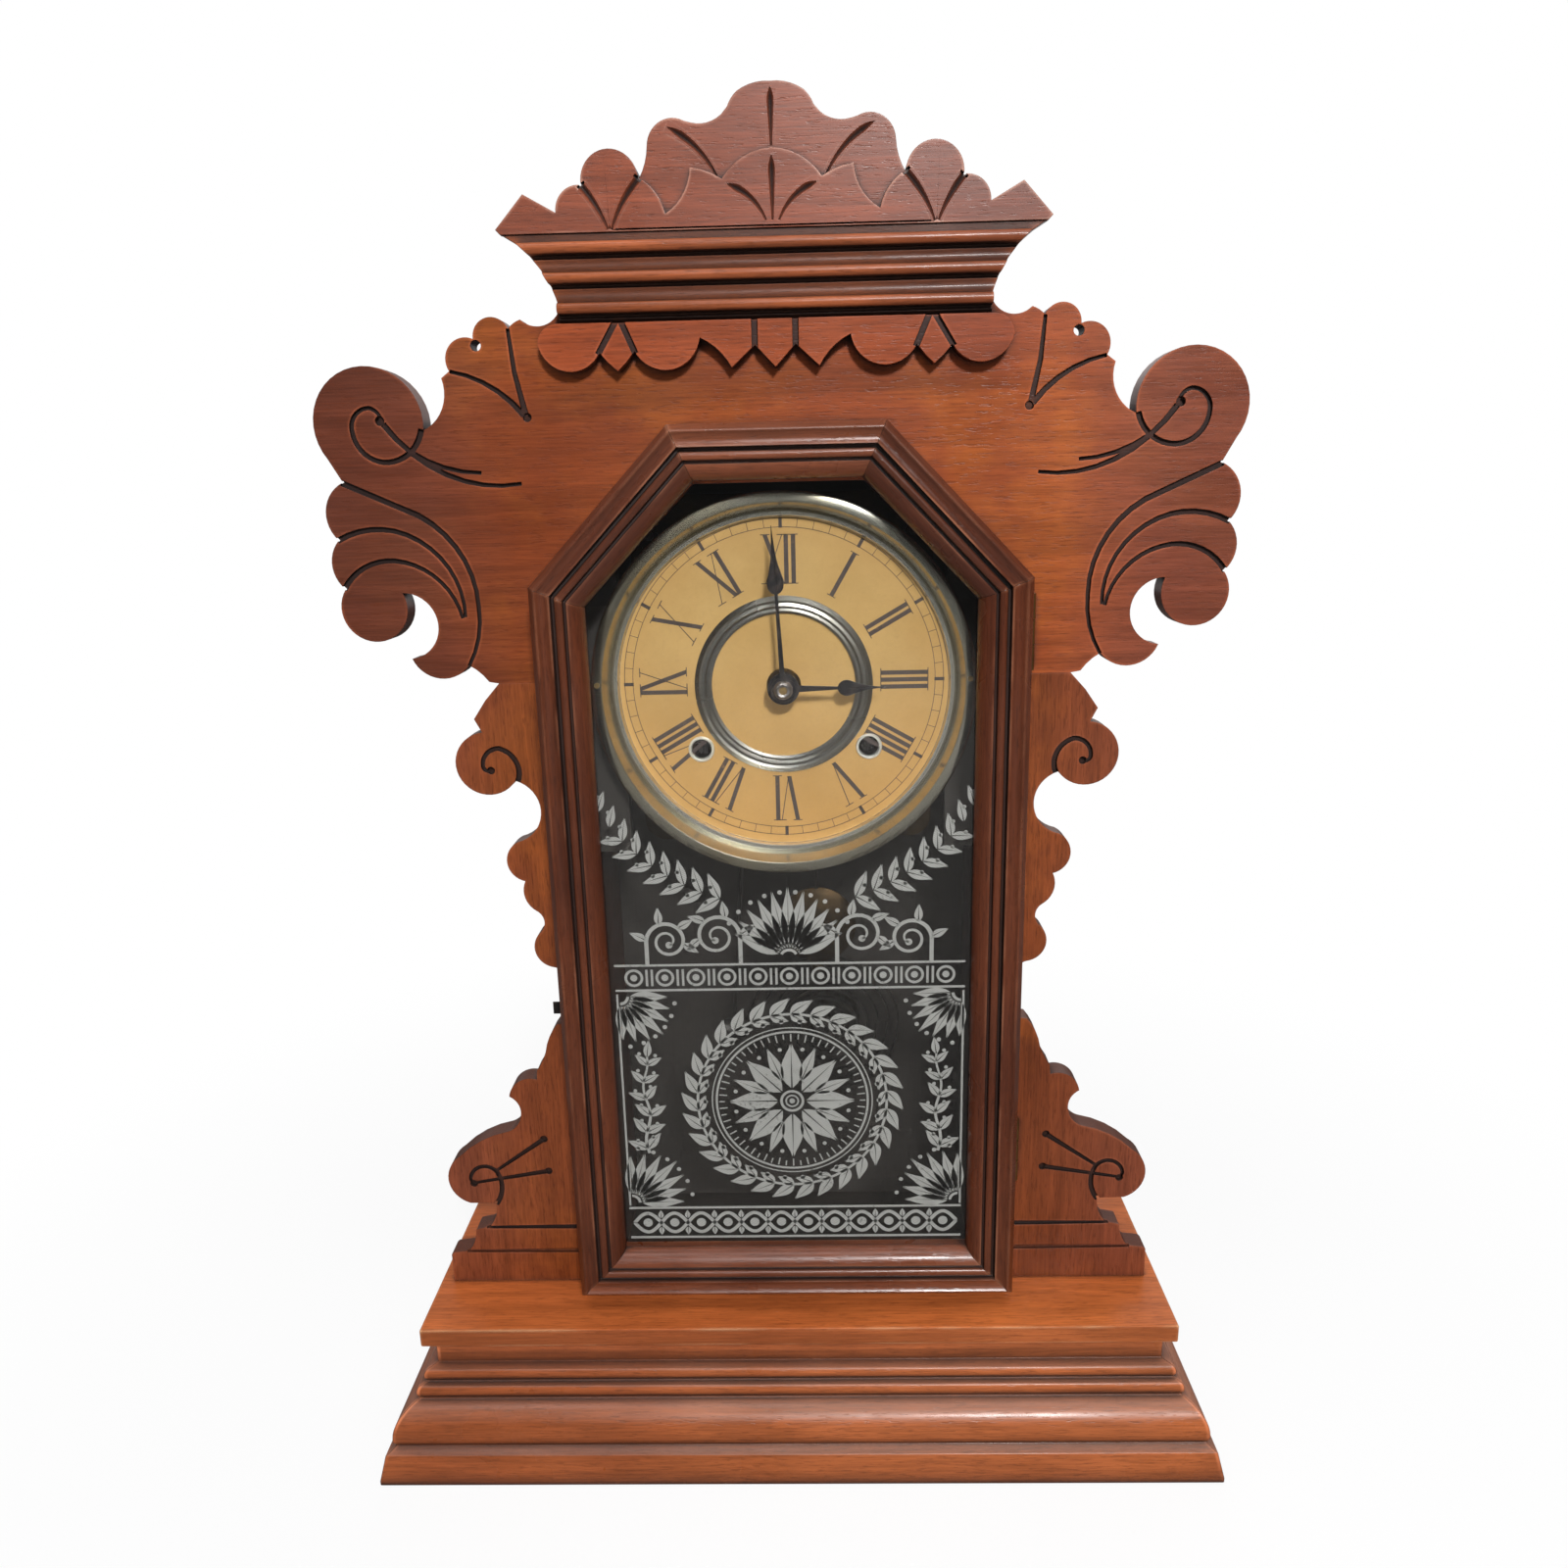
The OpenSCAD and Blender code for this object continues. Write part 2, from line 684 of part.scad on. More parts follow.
module rounded_rectangle(x0, z0, x1, z1, r)
  polygon([
    each arc([x1 - r, z1 - r], r, 0, 90, 6), each arc([x0 + r, z1 - r], r, 90, 180, 6),
    each arc([x0 + r, z0 + r], r, 180, 270, 6), each arc([x1 - r, z0 + r], r, 270, 360, 6)
  ]);

module plate(y) {
  difference() {
    slab(y, plate_thickness) rounded_rectangle(-plate_half, plate_low, plate_half, plate_high, 9);
    slab(y - 1, plate_thickness + 2) rounded_rectangle(-11, -52, 11, -13, 4);
    both_sides() slab(y - 1, plate_thickness + 2) rounded_rectangle(38, 14, 54, 50, 4);
    for (p = plain_arbors())
      bar(p, y - 1, y + plate_thickness + 1, pivot_radius + pivot_clearance);
    for (p = pillar_spots)
      bar(p, y - 1, y + plate_thickness + 1, pillar_radius - 1);
    children();
  }
}

module front_plate()
  color(brass)
    at_dial() {
      plate(plate_setback) {
        for (p = [time_first, strike_first])
          bar(p, plate_setback - 1, front_y + 1, winding_radius + pivot_clearance);
        bar(centre, plate_setback - 1, front_y + 1, centre_radius + pivot_clearance);
        bar(escape, plate_setback - 1, front_y + 1, arbor_radius + pivot_clearance);
        bar(suspension, plate_setback - 1, front_y + 1, stud_radius);
      }
      bar(minute_stud, plate_setback - 9.5, front_y, stud_radius);
      bar(verge_stud, plate_setback - 8.5, front_y, verge_stud_radius);
    }

module back_plate()
  color(brass)
    at_dial()
      plate(back_y) {
        for (p = [time_first, strike_first])
          bar(p, back_y - 1, back_y + plate_thickness + 1, pivot_radius * 2 + pivot_clearance);
        for (p = [centre, escape])
          bar(p, back_y - 1, back_y + plate_thickness + 1, pivot_radius + pivot_clearance);
        for (p = screw_spots)
          bar(p, back_y - 1, back_y + plate_thickness + 1, screw_radius + 0.1);
      }

module plate_pillars()
  color(steel)
    at_dial()
      for (p = pillar_spots) {
        bar(p, front_y, back_y, pillar_radius);
        bar(p, plate_setback - 3.5, back_y + plate_thickness, pillar_radius - 1.05);
      }

module pillar_nuts()
  color(brass)
    at_dial()
      for (p = pillar_spots)
        difference() {
          translate([p.x, plate_setback, p.y])
            rotate([90, 0, 0])
              cylinder(h = 2.6, r = 4, $fn = 6);
          bar(p, plate_setback - 4, plate_setback + 1, pillar_radius - 1.03);
        }

batten_height = 13;
batten_half = 50;
batten_low = plate_low - 4;
batten_high = plate_high - 9;
screw_bite = 6;

module movement_battens()
  color(dark_wood)
    at_dial()
      difference() {
        for (z = [batten_low, batten_high])
          translate([-batten_half, back_y + plate_thickness, z])
            cube([2 * batten_half, batten_depth, batten_height]);
        for (p = screw_spots)
          bar(p, back_y, back_y + plate_thickness + screw_bite, screw_radius);
      }

module movement_screws()
  color(steel)
    at_dial()
      for (p = screw_spots) {
        bar(p, back_y - 1, back_y + plate_thickness + screw_bite, screw_radius);
        difference() {
          bar(p, back_y - 1.8, back_y, 3);
          translate([p.x - 4, back_y - 2.2, p.y - 0.4]) cube([8, 1.1, 0.8]);
        }
      }

// Mainsprings: flat strips wound in a spiral about the winding arbors, with an eye round the lower pillar

spring_in = winding_radius + seat_clearance + spring_strip / 2;
spring_out = 21.5;
eye_radius = pillar_radius + seat_clearance + spring_strip / 2;
spring_post = pillar_spots[0] - time_first;
spring_end = bearing([0, 0], spring_post) - acos((spring_out - eye_radius) / norm(spring_post));
spring_step = 15;
spring_count = spring_turns * 360 / spring_step;
function spring_path() = [
  for (i = [0:spring_count])
    polar(
      spring_in + (spring_out - spring_in) * i / spring_count,
      spring_end + (i - spring_count) * spring_step
    )
];
function eye_path() = [
  for (a = [0:20:280]) spring_post + polar(eye_radius, spring_end + a)
];
spring_pitch = (spring_out - spring_in) / spring_turns;

module mainspring()
  translate([time_first.x, 0, time_first.y])
    slab(spring_y, spring_width)
      polygon(ribbon([each spring_path(), each eye_path()], spring_strip, spring_strip));

module mainsprings() color(steel) at_dial() both_sides() mainspring();

// Least gap of a spiral strip to its own next turn, measured between the points of turns that lie side by side
function least_gap(p, per_turn, strip) =
  min([for (i = [0:len(p) - 1 - per_turn]) norm(p[i + per_turn] - p[i])]) - strip;
echo(mainspring_least_gap = least_gap(spring_path(), 360 / spring_step, spring_strip));

// Winding: great wheels run on the winding arbors, whose ratchets work against a click on the wheel

ratchet_teeth = 18;
ratchet_radius = 9;
ratchet_deep = 1.4;
click_pivot = polar(16, 72);
click_pin = 1.1;
function ratchet_points() = [
  for (i = [0:ratchet_teeth - 1])
    each [
      polar(ratchet_radius, 360 * i / ratchet_teeth),
      polar(ratchet_radius - ratchet_deep, 360 * (i + 0.12) / ratchet_teeth)
    ]
];
click_tip = polar(ratchet_radius + seat_clearance, 108);

module great_wheel(p, aim)
  difference() {
    union() {
      toothed(p, great_y, great_thick, great_teeth, module_great, aim, 5);
      bar(p, count_y + count_thick, great_y + great_thick, winding_radius + 3);
      bar(p + click_pivot, great_y, click_y + click_thick + 0.6, click_pin);
      bar(p + click_pivot, great_y, great_y + great_thick, 3.4);
    }
    bar(p, count_y, great_y + great_thick + 2, winding_radius + pivot_clearance);
  }

module click(p)
  translate([p.x, 0, p.y])
    slab(click_y, click_thick)
      difference() {
        polygon([
          each arc(click_pivot, 2.4, -80, 100, 10), click_tip + polar(1.8, 108), click_tip,
          click_tip + polar(1.6, 50)
        ]);
        translate(click_pivot) circle(r = click_pin + 0.02);
      }

square_side = 4.2;
square_from = paper_y + 1.6;
square_to = square_from + 8;

module winding_arbor(p) {
  bar(p, square_to - 2, spring_y + spring_width + 1, winding_radius);
  bar(p, square_to, back_y - end_shake, pivot_radius * 2 + 0.6);
  bar(p, square_to, back_y + plate_thickness + 0.5, pivot_radius * 2);
  translate([p.x - square_side / 2, square_from, p.y - square_side / 2])
    cube([square_side, square_to - square_from, square_side]);
  translate([p.x, 0, p.y]) slab(click_y, click_thick) polygon(ratchet_points());
}

module time_great_wheel() color(brass) at_dial() great_wheel(time_first, bearing(time_first, time_second));
module time_click() color(steel) at_dial() click(time_first);
module time_winding_arbor() color(steel) at_dial() winding_arbor(time_first);
module strike_great_wheel()
  color(brass) at_dial() great_wheel(strike_first, bearing(strike_first, strike_second));
module strike_click() color(steel) at_dial() click(strike_first);
module strike_winding_arbor() color(steel) at_dial() winding_arbor(strike_first);

// Count wheel: one slot for each hour, spaced by the number of blows before it

blows = [1, 2, 3, 4, 5, 6, 7, 8, 9, 10, 11, 12];
all_blows = 78;
count_radius = 20;
function blows_before(i) = i == 0 ? 0 : blows_before(i - 1) + blows[i - 1];

module count_wheel()
  color(brass)
    at_dial()
      translate([strike_first.x, 0, strike_first.y])
        slab(count_y, count_thick)
          difference() {
            circle(r = count_radius, $fn = 96);
            circle(r = winding_radius + 0.6);
            windows(8, 15, 3, 3);
            for (i = [0:len(blows) - 1])
              rotate(360 * blows_before(i) / all_blows)
                translate([count_radius - 2.2, -0.4])
                  square([4, 0.8]);
          }

// Time train

module time_second_wheel()
  color(brass)
    at_dial() {
      arbor(time_second);
      lantern(time_second, great_y - 1, great_y + great_thick + 1, great_pinion, module_great,
        bearing(time_second, time_first));
      toothed(time_second, slow_y, wheel_thick, second_teeth, module_second, bearing(time_second, centre));
      hub(time_second, slow_y, wheel_thick, 3.4);
    }

hand_y = -3.2;
module centre_wheel()
  color(brass)
    at_dial() {
      bar(centre, hand_y - 2.2, back_y - end_shake, centre_radius);
      bar(centre, back_y - 1, back_y + plate_thickness + 0.5, pivot_radius);
      lantern(centre, slow_y - 1.2, slow_y + wheel_thick + 1.2, second_pinion, module_second,
        bearing(centre, time_second));
      toothed(centre, centre_wheel_y, centre_thick, centre_teeth, module_centre, bearing(centre, time_fourth));
      hub(centre, centre_wheel_y + 0.4, centre_thick, 3.4);
      slab(motion_y, motion_thick)
        polygon(wheel_points(cannon_teeth, module_motion, 180, spur_high, spur_half, spur_tip));
    }

module time_fourth_wheel()
  color(brass)
    at_dial() {
      arbor(time_fourth, r = 1.1);
      lantern(time_fourth, centre_wheel_y - wheel_gap - collet, centre_wheel_y + centre_thick + wheel_gap + collet,
        centre_pinion, module_centre, bearing(time_fourth, centre));
      toothed(time_fourth, fourth_y, 1.1, fourth_teeth, module_fourth, bearing(time_fourth, escape));
      hub(time_fourth, fourth_y, 1.1, 3);
    }

// Escape wheel in front of the plate: pointed teeth that lean the way it turns
escape_y = plate_setback - 4.2;
escape_thick = 1.2;
escape_deep = 2.6;
function escape_points() = [
  for (i = [0:escape_teeth - 1])
    let (a = 360 * i / escape_teeth)
    each [
      polar(escape_radius, a), polar(escape_radius - 0.1, a + 0.8),
      polar(escape_radius - escape_deep, a + 4.4), polar(escape_radius - escape_deep, a + 6.4)
    ]
];

module escape_wheel()
  color(brass)
    at_dial() {
      bar(escape, escape_y - 0.8, back_y - end_shake, 0.9);
      bar(escape, plate_setback - 2, front_y + 2, arbor_radius);
      bar(escape, back_y - 1, back_y + plate_thickness + 0.5, pivot_radius);
      lantern(escape, fourth_y - 1.2, fourth_y + 2.3, fourth_pinion, module_fourth,
        bearing(escape, time_fourth));
      translate([escape.x, 0, escape.y])
        slab(escape_y, escape_thick)
          difference() {
            polygon(escape_points());
            windows(3.4, escape_radius - escape_deep - 1.4, 4, 1.8);
          }
      bar(escape, escape_y - 0.8, escape_y + escape_thick + 0.8, 2.4);
    }

// Verge: a bent steel strip with a pallet at each end, its hub on a stud, and the crutch that guides the rod

pallet_angle = 36;
pallet_gap = 1.4;
strip_thick = 1;
crutch_drop = 30;
crutch_y = plate_setback - 7.6;
rod_y = plate_setback - 12;
rod_radius = 0.8;
fork_gap = 0.6;
verge_hub = 2.8;

module verge() {
  tip = escape_radius + pallet_gap;
  rise = verge_stud.y - escape.y;
  color(steel)
    at_dial()
      difference() {
        union() {
          bar(verge_stud, crutch_y - 0.6, escape_y + escape_thick + 1.2, verge_hub);
          translate([escape.x, 0, escape.y])
            slab(escape_y - 0.3, escape_thick + 0.6)
              polygon(ribbon(
                [
                  polar(tip, 90 - pallet_angle), polar(tip + 2.6, 90 - pallet_angle + 3),
                  [5.2, rise - 1.6], [0, rise - 0.6], [-5.2, rise - 1.6],
                  polar(tip + 2.6, 90 + pallet_angle - 3), polar(tip, 90 + pallet_angle)
                ],
                strip_thick, strip_thick
              ));
          translate([verge_stud.x - 0.6, crutch_y - 0.6, verge_stud.y - crutch_drop])
            cube([1.2, 1.2, crutch_drop]);
          translate([verge_stud.x - 2.6, crutch_y - 0.6, verge_stud.y - crutch_drop - 1.2])
            cube([5.2, 1.2, 1.2]);
          for (side = [-1, 1])
            bar(
              verge_stud + [side * (rod_radius + fork_gap + 0.5), -crutch_drop - 0.6],
              rod_y - 2, crutch_y, 0.5
            );
        }
        bar(verge_stud, crutch_y - 3, escape_y + 6, verge_stud_radius + pivot_clearance);
      }
}

// Suspension and pendulum

post_radius = 2.2;
post_pin = 1.2;
eye_half = 2;
leaf_length = 10;
bob_z = suspension.y - pendulum_length;

module suspension_post()
  color(brass)
    at_dial() {
      bar(suspension, rod_y + eye_half + seat_clearance, plate_setback, post_radius);
      bar(suspension, rod_y - eye_half - 1.2, plate_setback, post_pin);
      bar(suspension, rod_y - eye_half - 1.2, rod_y - eye_half - seat_clearance, post_radius);
      bar(suspension, plate_setback - 1, front_y, stud_radius - 0.02);
    }

module pendulum_rod()
  color(steel)
    at_dial()
      difference() {
        union() {
          bar(suspension, rod_y - eye_half, rod_y + eye_half, post_radius);
          translate([suspension.x - 0.15, rod_y - eye_half, suspension.y - leaf_length])
            cube([0.3, 2 * eye_half, leaf_length]);
          translate([suspension.x, rod_y, bob_z - bob_radius - 6])
            cylinder(h = suspension.y - leaf_length + 1 - bob_z + bob_radius + 6, r = rod_radius);
        }
        bar(suspension, rod_y - eye_half - 1, rod_y + eye_half + 1, post_pin + pivot_clearance);
      }

module pendulum_bob()
  color(brass)
    at_dial()
      difference() {
        turned([suspension.x, bob_z], [
          [0, rod_y - 3.6], [bob_radius * 0.5, rod_y - 3], [bob_radius * 0.85, rod_y - 1.6],
          [bob_radius, rod_y - 0.5], [bob_radius, rod_y + 0.5], [bob_radius * 0.85, rod_y + 1.6],
          [bob_radius * 0.5, rod_y + 3], [0, rod_y + 3.6]
        ]);
        translate([suspension.x, rod_y, bob_z - bob_radius - 1])
          cylinder(h = 2 * bob_radius + 2, r = rod_radius + 0.05);
      }

module rating_nut()
  color(brass)
    at_dial()
      translate([suspension.x, rod_y, bob_z - bob_radius - 3.6])
        difference() {
          cylinder(h = 3.4, r = 3);
          translate([0, 0, -1]) cylinder(h = 6, r = rod_radius + 0.02);
        }

// Motion work and hands: the minute wheel carries the centre arbor's turn to the hour pipe, twelve to one

spur_high = 0.8;
spur_half = 0.6;
spur_tip = 0.3;
motion_y = plate_setback - 3.4;
motion_thick = 1.6;
pipe_radius = 4;
hour_y = -1;
hand_thick = 0.6;
hour_wheel_y = plate_setback - 8;
minute_turn = 93;

module hour_wheel()
  color(brass)
    at_dial()
      difference() {
        union() {
          bar(centre, hour_y, hour_wheel_y + 1, pipe_radius);
          slab(hour_wheel_y, 1.4)
            polygon(wheel_points(hour_teeth, module_hour, 180 + 180 / hour_teeth, spur_high, spur_half, spur_tip));
        }
        bar(centre, hour_y - 1, hour_wheel_y + 3, centre_radius + pivot_clearance);
      }

module minute_wheel()
  color(brass)
    at_dial()
      translate([minute_stud.x, 0, minute_stud.y])
        difference() {
          union() {
            slab(motion_y, 1.4)
              polygon(wheel_points(minute_teeth, module_motion, 180 / minute_teeth,
                spur_high, spur_half, spur_tip));
            slab(hour_wheel_y - 1, motion_y - hour_wheel_y + 1.6)
              polygon(wheel_points(minute_pinion, module_hour, 0, spur_high, spur_half, spur_tip));
          }
          bar([0, 0], hour_wheel_y - 3, motion_y + 4, stud_radius + pivot_clearance);
        }

// A hand along +X: a round boss, a slim shaft, a rounded swelling whose widest place is bulb, then a long point
hand_neck = 12;
hand_taper = [[0.02, 3.25], [0.1, 3.05], [0.2, 2.4], [0.32, 1.75], [0.45, 1.15], [0.6, 0.7], [0.8, 0.35], [1, 0.05]];
function hand_half(boss, length, bulb) = [
  [boss * cos(hand_neck), boss * sin(hand_neck)], [bulb - 3.3, 0.62], [bulb - 2.9, 1.6], [bulb - 2, 2.5],
  [bulb - 0.9, 3.05], each [for (q = hand_taper) [bulb + (length - bulb) * q.x, q.y]]
];
module hand(boss, length, bulb, bore, turn)
  rotate(turn)
    difference() {
      let (half = hand_half(boss, length, bulb))
        polygon([
          each [for (i = [len(half) - 1:-1:0]) half[i]],
          each arc([0, 0], boss, hand_neck + 10, 350 - hand_neck, 32),
          each [for (q = half) [q.x, -q.y]]
        ]);
      circle(r = bore);
    }

module minute_hand()
  color(black_iron)
    at_dial()
      slab(hand_y, hand_thick)
        hand(5, minute_length, minute_length - 23, centre_radius + 0.02, minute_turn);

module hour_hand()
  color(black_iron)
    at_dial()
      difference() {
        slab(hour_y, hand_thick) hand(6.4, hour_length, hour_length - 16, centre_radius, 0);
        bar(centre, hour_y - 1, hour_y + 2, pipe_radius + 0.02);
      }

module hand_nut()
  color(brass)
    at_dial()
      turned(centre, [
        [centre_radius + 0.02, hand_y - 2.4], [2.4, hand_y - 2.6], [3.2, hand_y - 2], [3.8, hand_y - 0.8],
        [3.8, hand_y], [centre_radius + 0.02, hand_y]
      ]);

// Strike train: pins on the second wheel lift the hammer, and the fly steadies the train

lift_pins = 13;
lift_pin = 0.6;
lift_radius = module_strike * strike_teeth / 2 - 1.7;
fly_half = 11;
fly_y = front_y + 3;

module strike_second_wheel()
  color(brass)
    at_dial() {
      arbor(strike_second);
      lantern(strike_second, great_y - 1, great_y + great_thick + 1, great_pinion, module_great,
        bearing(strike_second, strike_first));
      toothed(strike_second, slow_y, wheel_thick, strike_teeth, module_strike,
        bearing(strike_second, strike_third));
      hub(strike_second, slow_y, wheel_thick, 3.4);
      for (i = [0:lift_pins - 1])
        bar(strike_second + polar(lift_radius, 360 * i / lift_pins), slow_y, slow_y + wheel_thick + 2, lift_pin);
    }

module strike_third_wheel()
  color(brass)
    at_dial() {
      arbor(strike_third, r = 1.1);
      lantern(strike_third, slow_y - 1.2, slow_y + wheel_thick + 1.2, strike_pinion, module_strike,
        bearing(strike_third, strike_second));
      toothed(strike_third, third_y, 1.1, third_teeth, module_fly, bearing(strike_third, strike_fourth));
      hub(strike_third, third_y, 1.1, 2.8);
    }

module strike_fly()
  color(brass)
    at_dial() {
      arbor(strike_fourth, r = 0.9);
      lantern(strike_fourth, third_y - 1.2, third_y + 2.3, third_pinion, module_fly,
        bearing(strike_fourth, strike_third));
      translate([strike_fourth.x - fly_half, fly_y, strike_fourth.y - 0.35])
        cube([2 * fly_half, 8, 0.7]);
      bar(strike_fourth, fly_y, fly_y + 8, 1.6);
    }

// Gong: a flat coil on an iron post, and the hammer that hangs beside it

gong_x = 16;
gong_z = 100.6 - dial_height;
gong_post = 6;
gong_y = inner_back - 16.5;
gong_wire = 1.2;
gong_wire_depth = 3;
gong_in = gong_post + seat_clearance + gong_wire / 2;
gong_out = gong_radius - gong_wire / 2;
gong_step = 15;
gong_count = gong_turns * 360 / gong_step;
function gong_path() = [
  for (i = [0:gong_count])
    polar(gong_in + (gong_out - gong_in) * i / gong_count, 200 + (i - gong_count) * gong_step)
];
echo(gong_least_gap = least_gap(gong_path(), 360 / gong_step, gong_wire));

module gong_base()
  color(black_iron)
    at_dial()
      difference() {
        turned([gong_x, gong_z], [
          [0, gong_y - 1.5], [gong_post - 1, gong_y - 1.5], [gong_post, gong_y - 0.5],
          [gong_post, inner_back - 7], [gong_post + 2, inner_back - 6], [14, inner_back - 5],
          [16, inner_back - 3], [16, inner_back], [0, inner_back]
        ]);
        bar([gong_x, gong_z], gong_y - 3, inner_back - 8, 1.6);
      }

module gong_coil()
  color(steel)
    at_dial()
      translate([gong_x, 0, gong_z])
        slab(gong_y, gong_wire_depth)
          polygon(ribbon(gong_path(), gong_wire, gong_wire));

hammer_gap = 1.2;
hammer_half = 5.4;
hammer_y = gong_y + gong_wire_depth / 2;
hammer_x = gong_x - gong_radius - hammer_gap - hammer_half;
hammer_lean = atan((hammer_arbor.x - hammer_x) / (hammer_arbor.y - gong_z));
tail_y = slow_y + wheel_thick + 1.4;
tail_radius = 0.7;
tail_end = strike_second + polar(lift_radius + lift_pin + tail_radius + 2 * seat_clearance, -78);
tail_length = norm(tail_end - hammer_arbor);
tail_lean = 90 - bearing(hammer_arbor, tail_end);

module strike_hammer()
  color(steel)
    at_dial() {
      arbor(hammer_arbor);
      translate([hammer_arbor.x, hammer_y, hammer_arbor.y])
        rotate([0, 180 + hammer_lean, 0])
          cylinder(h = (hammer_arbor.y - gong_z) / cos(hammer_lean), r = 0.9);
      translate([hammer_x - hammer_half, hammer_y, gong_z])
        rotate([0, 90, 0])
          cylinder(h = 2 * hammer_half, r = 4.6);
      translate([hammer_arbor.x, tail_y, hammer_arbor.y])
        rotate([0, tail_lean, 0])
          cylinder(h = tail_length, r = tail_radius);
    }

// Sizes shared by the door's catch pin and its hook, which hangs at the left fret's waist

pin_y = -6;
pin_radius = 1.2;
pin_bite = 4;
door_half = door_width / 2;
hook_y = board_thickness / 2;
hook_z = waist_z - 0.6;
hook_thick = 1.2;
hook_screw_radius = 1.1;
hook_bite = 9;
hook_x = -waist_half - seat_clearance - hook_thick;
hook_reach = hook_y - pin_y;
hook_tab = 6.2;
hook_tail = 3;
pin_length = waist_half + seat_clearance + hook_thick - door_half - 0.2;

// Door: six mitred members of one moulding round the glass, hung on two hinges at its right edge

door_back = -1.2;
door_front = door_back - door_thickness;
door_bottom = door_gap;
door_points = [
  [-door_half, door_bottom], [door_half, door_bottom], [door_half, door_bottom + door_height - door_slant],
  [door_top / 2, door_bottom + door_height], [-door_top / 2, door_bottom + door_height],
  [-door_half, door_bottom + door_height - door_slant]
];
rabbet_at = door_member - 5.6;
rabbet_depth = 9.8;
door_profile = path([
  [0, door_thickness], [0, 3], [2.2, 0.2], [2.8, 0, 1.1], [8.2, 0.4], [8.6, 3], [9.6, 3],
  [9.8, 1.6, -0.7], [12.8, 1.6], [13, 3.4], [13.9, 3.4], [14.1, 2.4, -1.6], [door_member, rabbet_depth - 0.8],
  [door_member, rabbet_depth], [rabbet_at, rabbet_depth], [rabbet_at, door_thickness]
], closed = true);

// The door's outline drawn in by a distance
function inward(a, b) = let (d = (b - a) / norm(b - a)) [-d.y, d.x];
function drawn_in(points, i, by) =
  let (n = len(points), p = points[i], a = inward(points[(i + n - 1) % n], p), b = inward(p, points[(i + 1) % n]))
  p + by * (a + b) / (1 + a * b);

// Member number i, between the mitres at its two corners
module door_member_solid(i) {
  n = len(door_points);
  a = door_points[i];
  b = door_points[(i + 1) % n];
  u = (a - b) / norm(a - b);
  in = inward(a, b);
  intersection() {
    multmatrix([[in.x, 0, u.x, b.x], [0, 1, 0, door_front], [in.y, 0, u.y, b.y], [0, 0, 0, 1]])
      linear_extrude(norm(a - b))
        polygon(door_profile);
    slab(door_front - 1, door_thickness + 2)
      polygon([
        a, b, drawn_in(door_points, (i + 1) % n, door_member + 1), drawn_in(door_points, i, door_member + 1)
      ]);
  }
}

module door_rails() color(dark_wood) on_shelf() for (i = [0, 3]) door_member_solid(i);
module door_diagonals() color(dark_wood) on_shelf() for (i = [2, 4]) door_member_solid(i);
module door_stiles()
  color(dark_wood)
    on_shelf()
      difference() {
        for (i = [1, 5])
          door_member_solid(i);
        translate([-door_half - 1, pin_y, hook_z])
          rotate([0, 90, 0])
            cylinder(h = pin_bite + 1, r = pin_radius);
      }

module door_catch_pin()
  color(steel)
    on_shelf()
      translate([-door_half - pin_length, pin_y, hook_z])
        rotate([0, 90, 0])
          cylinder(h = pin_length + pin_bite - 0.2, r = pin_radius - 0.02);

module door_glass()
  color(clear, 0.4)
    on_shelf()
      slab(door_front + rabbet_depth, glass_thickness)
        polygon([for (i = [0:len(door_points) - 1]) drawn_in(door_points, i, rabbet_at + seat_clearance)]);

// Hinges: each leaf is a plate with knuckles round the pin, which the case leaf holds

knuckle = 1.9;
hinge_pin = 1;
leaf_thick = 0.8;
hinge_at = [door_half + 2.2, -2.3];
hinge_spots = [door_bottom + 45, door_head - 95];
leaf_width = 15;
knuckle_gap = 0.3;

module hinge_case_leaves()
  color(brass)
    on_shelf()
      for (z = hinge_spots)
        translate([0, 0, z]) {
          translate([hinge_at.x - leaf_width, -leaf_thick, 0]) cube([leaf_width, leaf_thick, hinge_length / 3]);
          translate([hinge_at.x - leaf_width, -leaf_thick, 0])
            cube([leaf_width - knuckle - 0.6, leaf_thick, hinge_length]);
          translate([hinge_at.x - leaf_width, -leaf_thick, hinge_length * 2 / 3])
            cube([leaf_width, leaf_thick, hinge_length / 3]);
          translate([hinge_at.x, hinge_at.y, 0]) {
            cylinder(h = hinge_length / 3, r = knuckle);
            translate([0, 0, hinge_length * 2 / 3]) cylinder(h = hinge_length / 3, r = knuckle);
            cylinder(h = hinge_length, r = hinge_pin);
          }
        }

module hinge_door_leaves()
  color(brass)
    on_shelf()
      for (z = hinge_spots)
        translate([0, 0, z + hinge_length / 3 + knuckle_gap])
          difference() {
            union() {
              translate([door_half, door_back - 11, 0])
                cube([leaf_thick, 10, hinge_length / 3 - 2 * knuckle_gap]);
              translate([hinge_at.x, hinge_at.y, 0])
                cylinder(h = hinge_length / 3 - 2 * knuckle_gap, r = knuckle);
            }
            translate([hinge_at.x, hinge_at.y, -1])
              cylinder(h = hinge_length, r = hinge_pin + pivot_clearance);
          }

// Door hook: a flat strip that hangs from a screw in the left fret's edge, with a notch and a finger tab

module hook_screw()
  color(steel)
    on_shelf()
      translate([-waist_half - hook_thick - 2 * seat_clearance - 1.2, hook_y, hook_z])
        rotate([0, 90, 0]) {
          cylinder(h = 1.2, r = 2.2);
          cylinder(h = 1.2 + hook_thick + 2 * seat_clearance + hook_bite, r = hook_screw_radius - 0.02);
        }

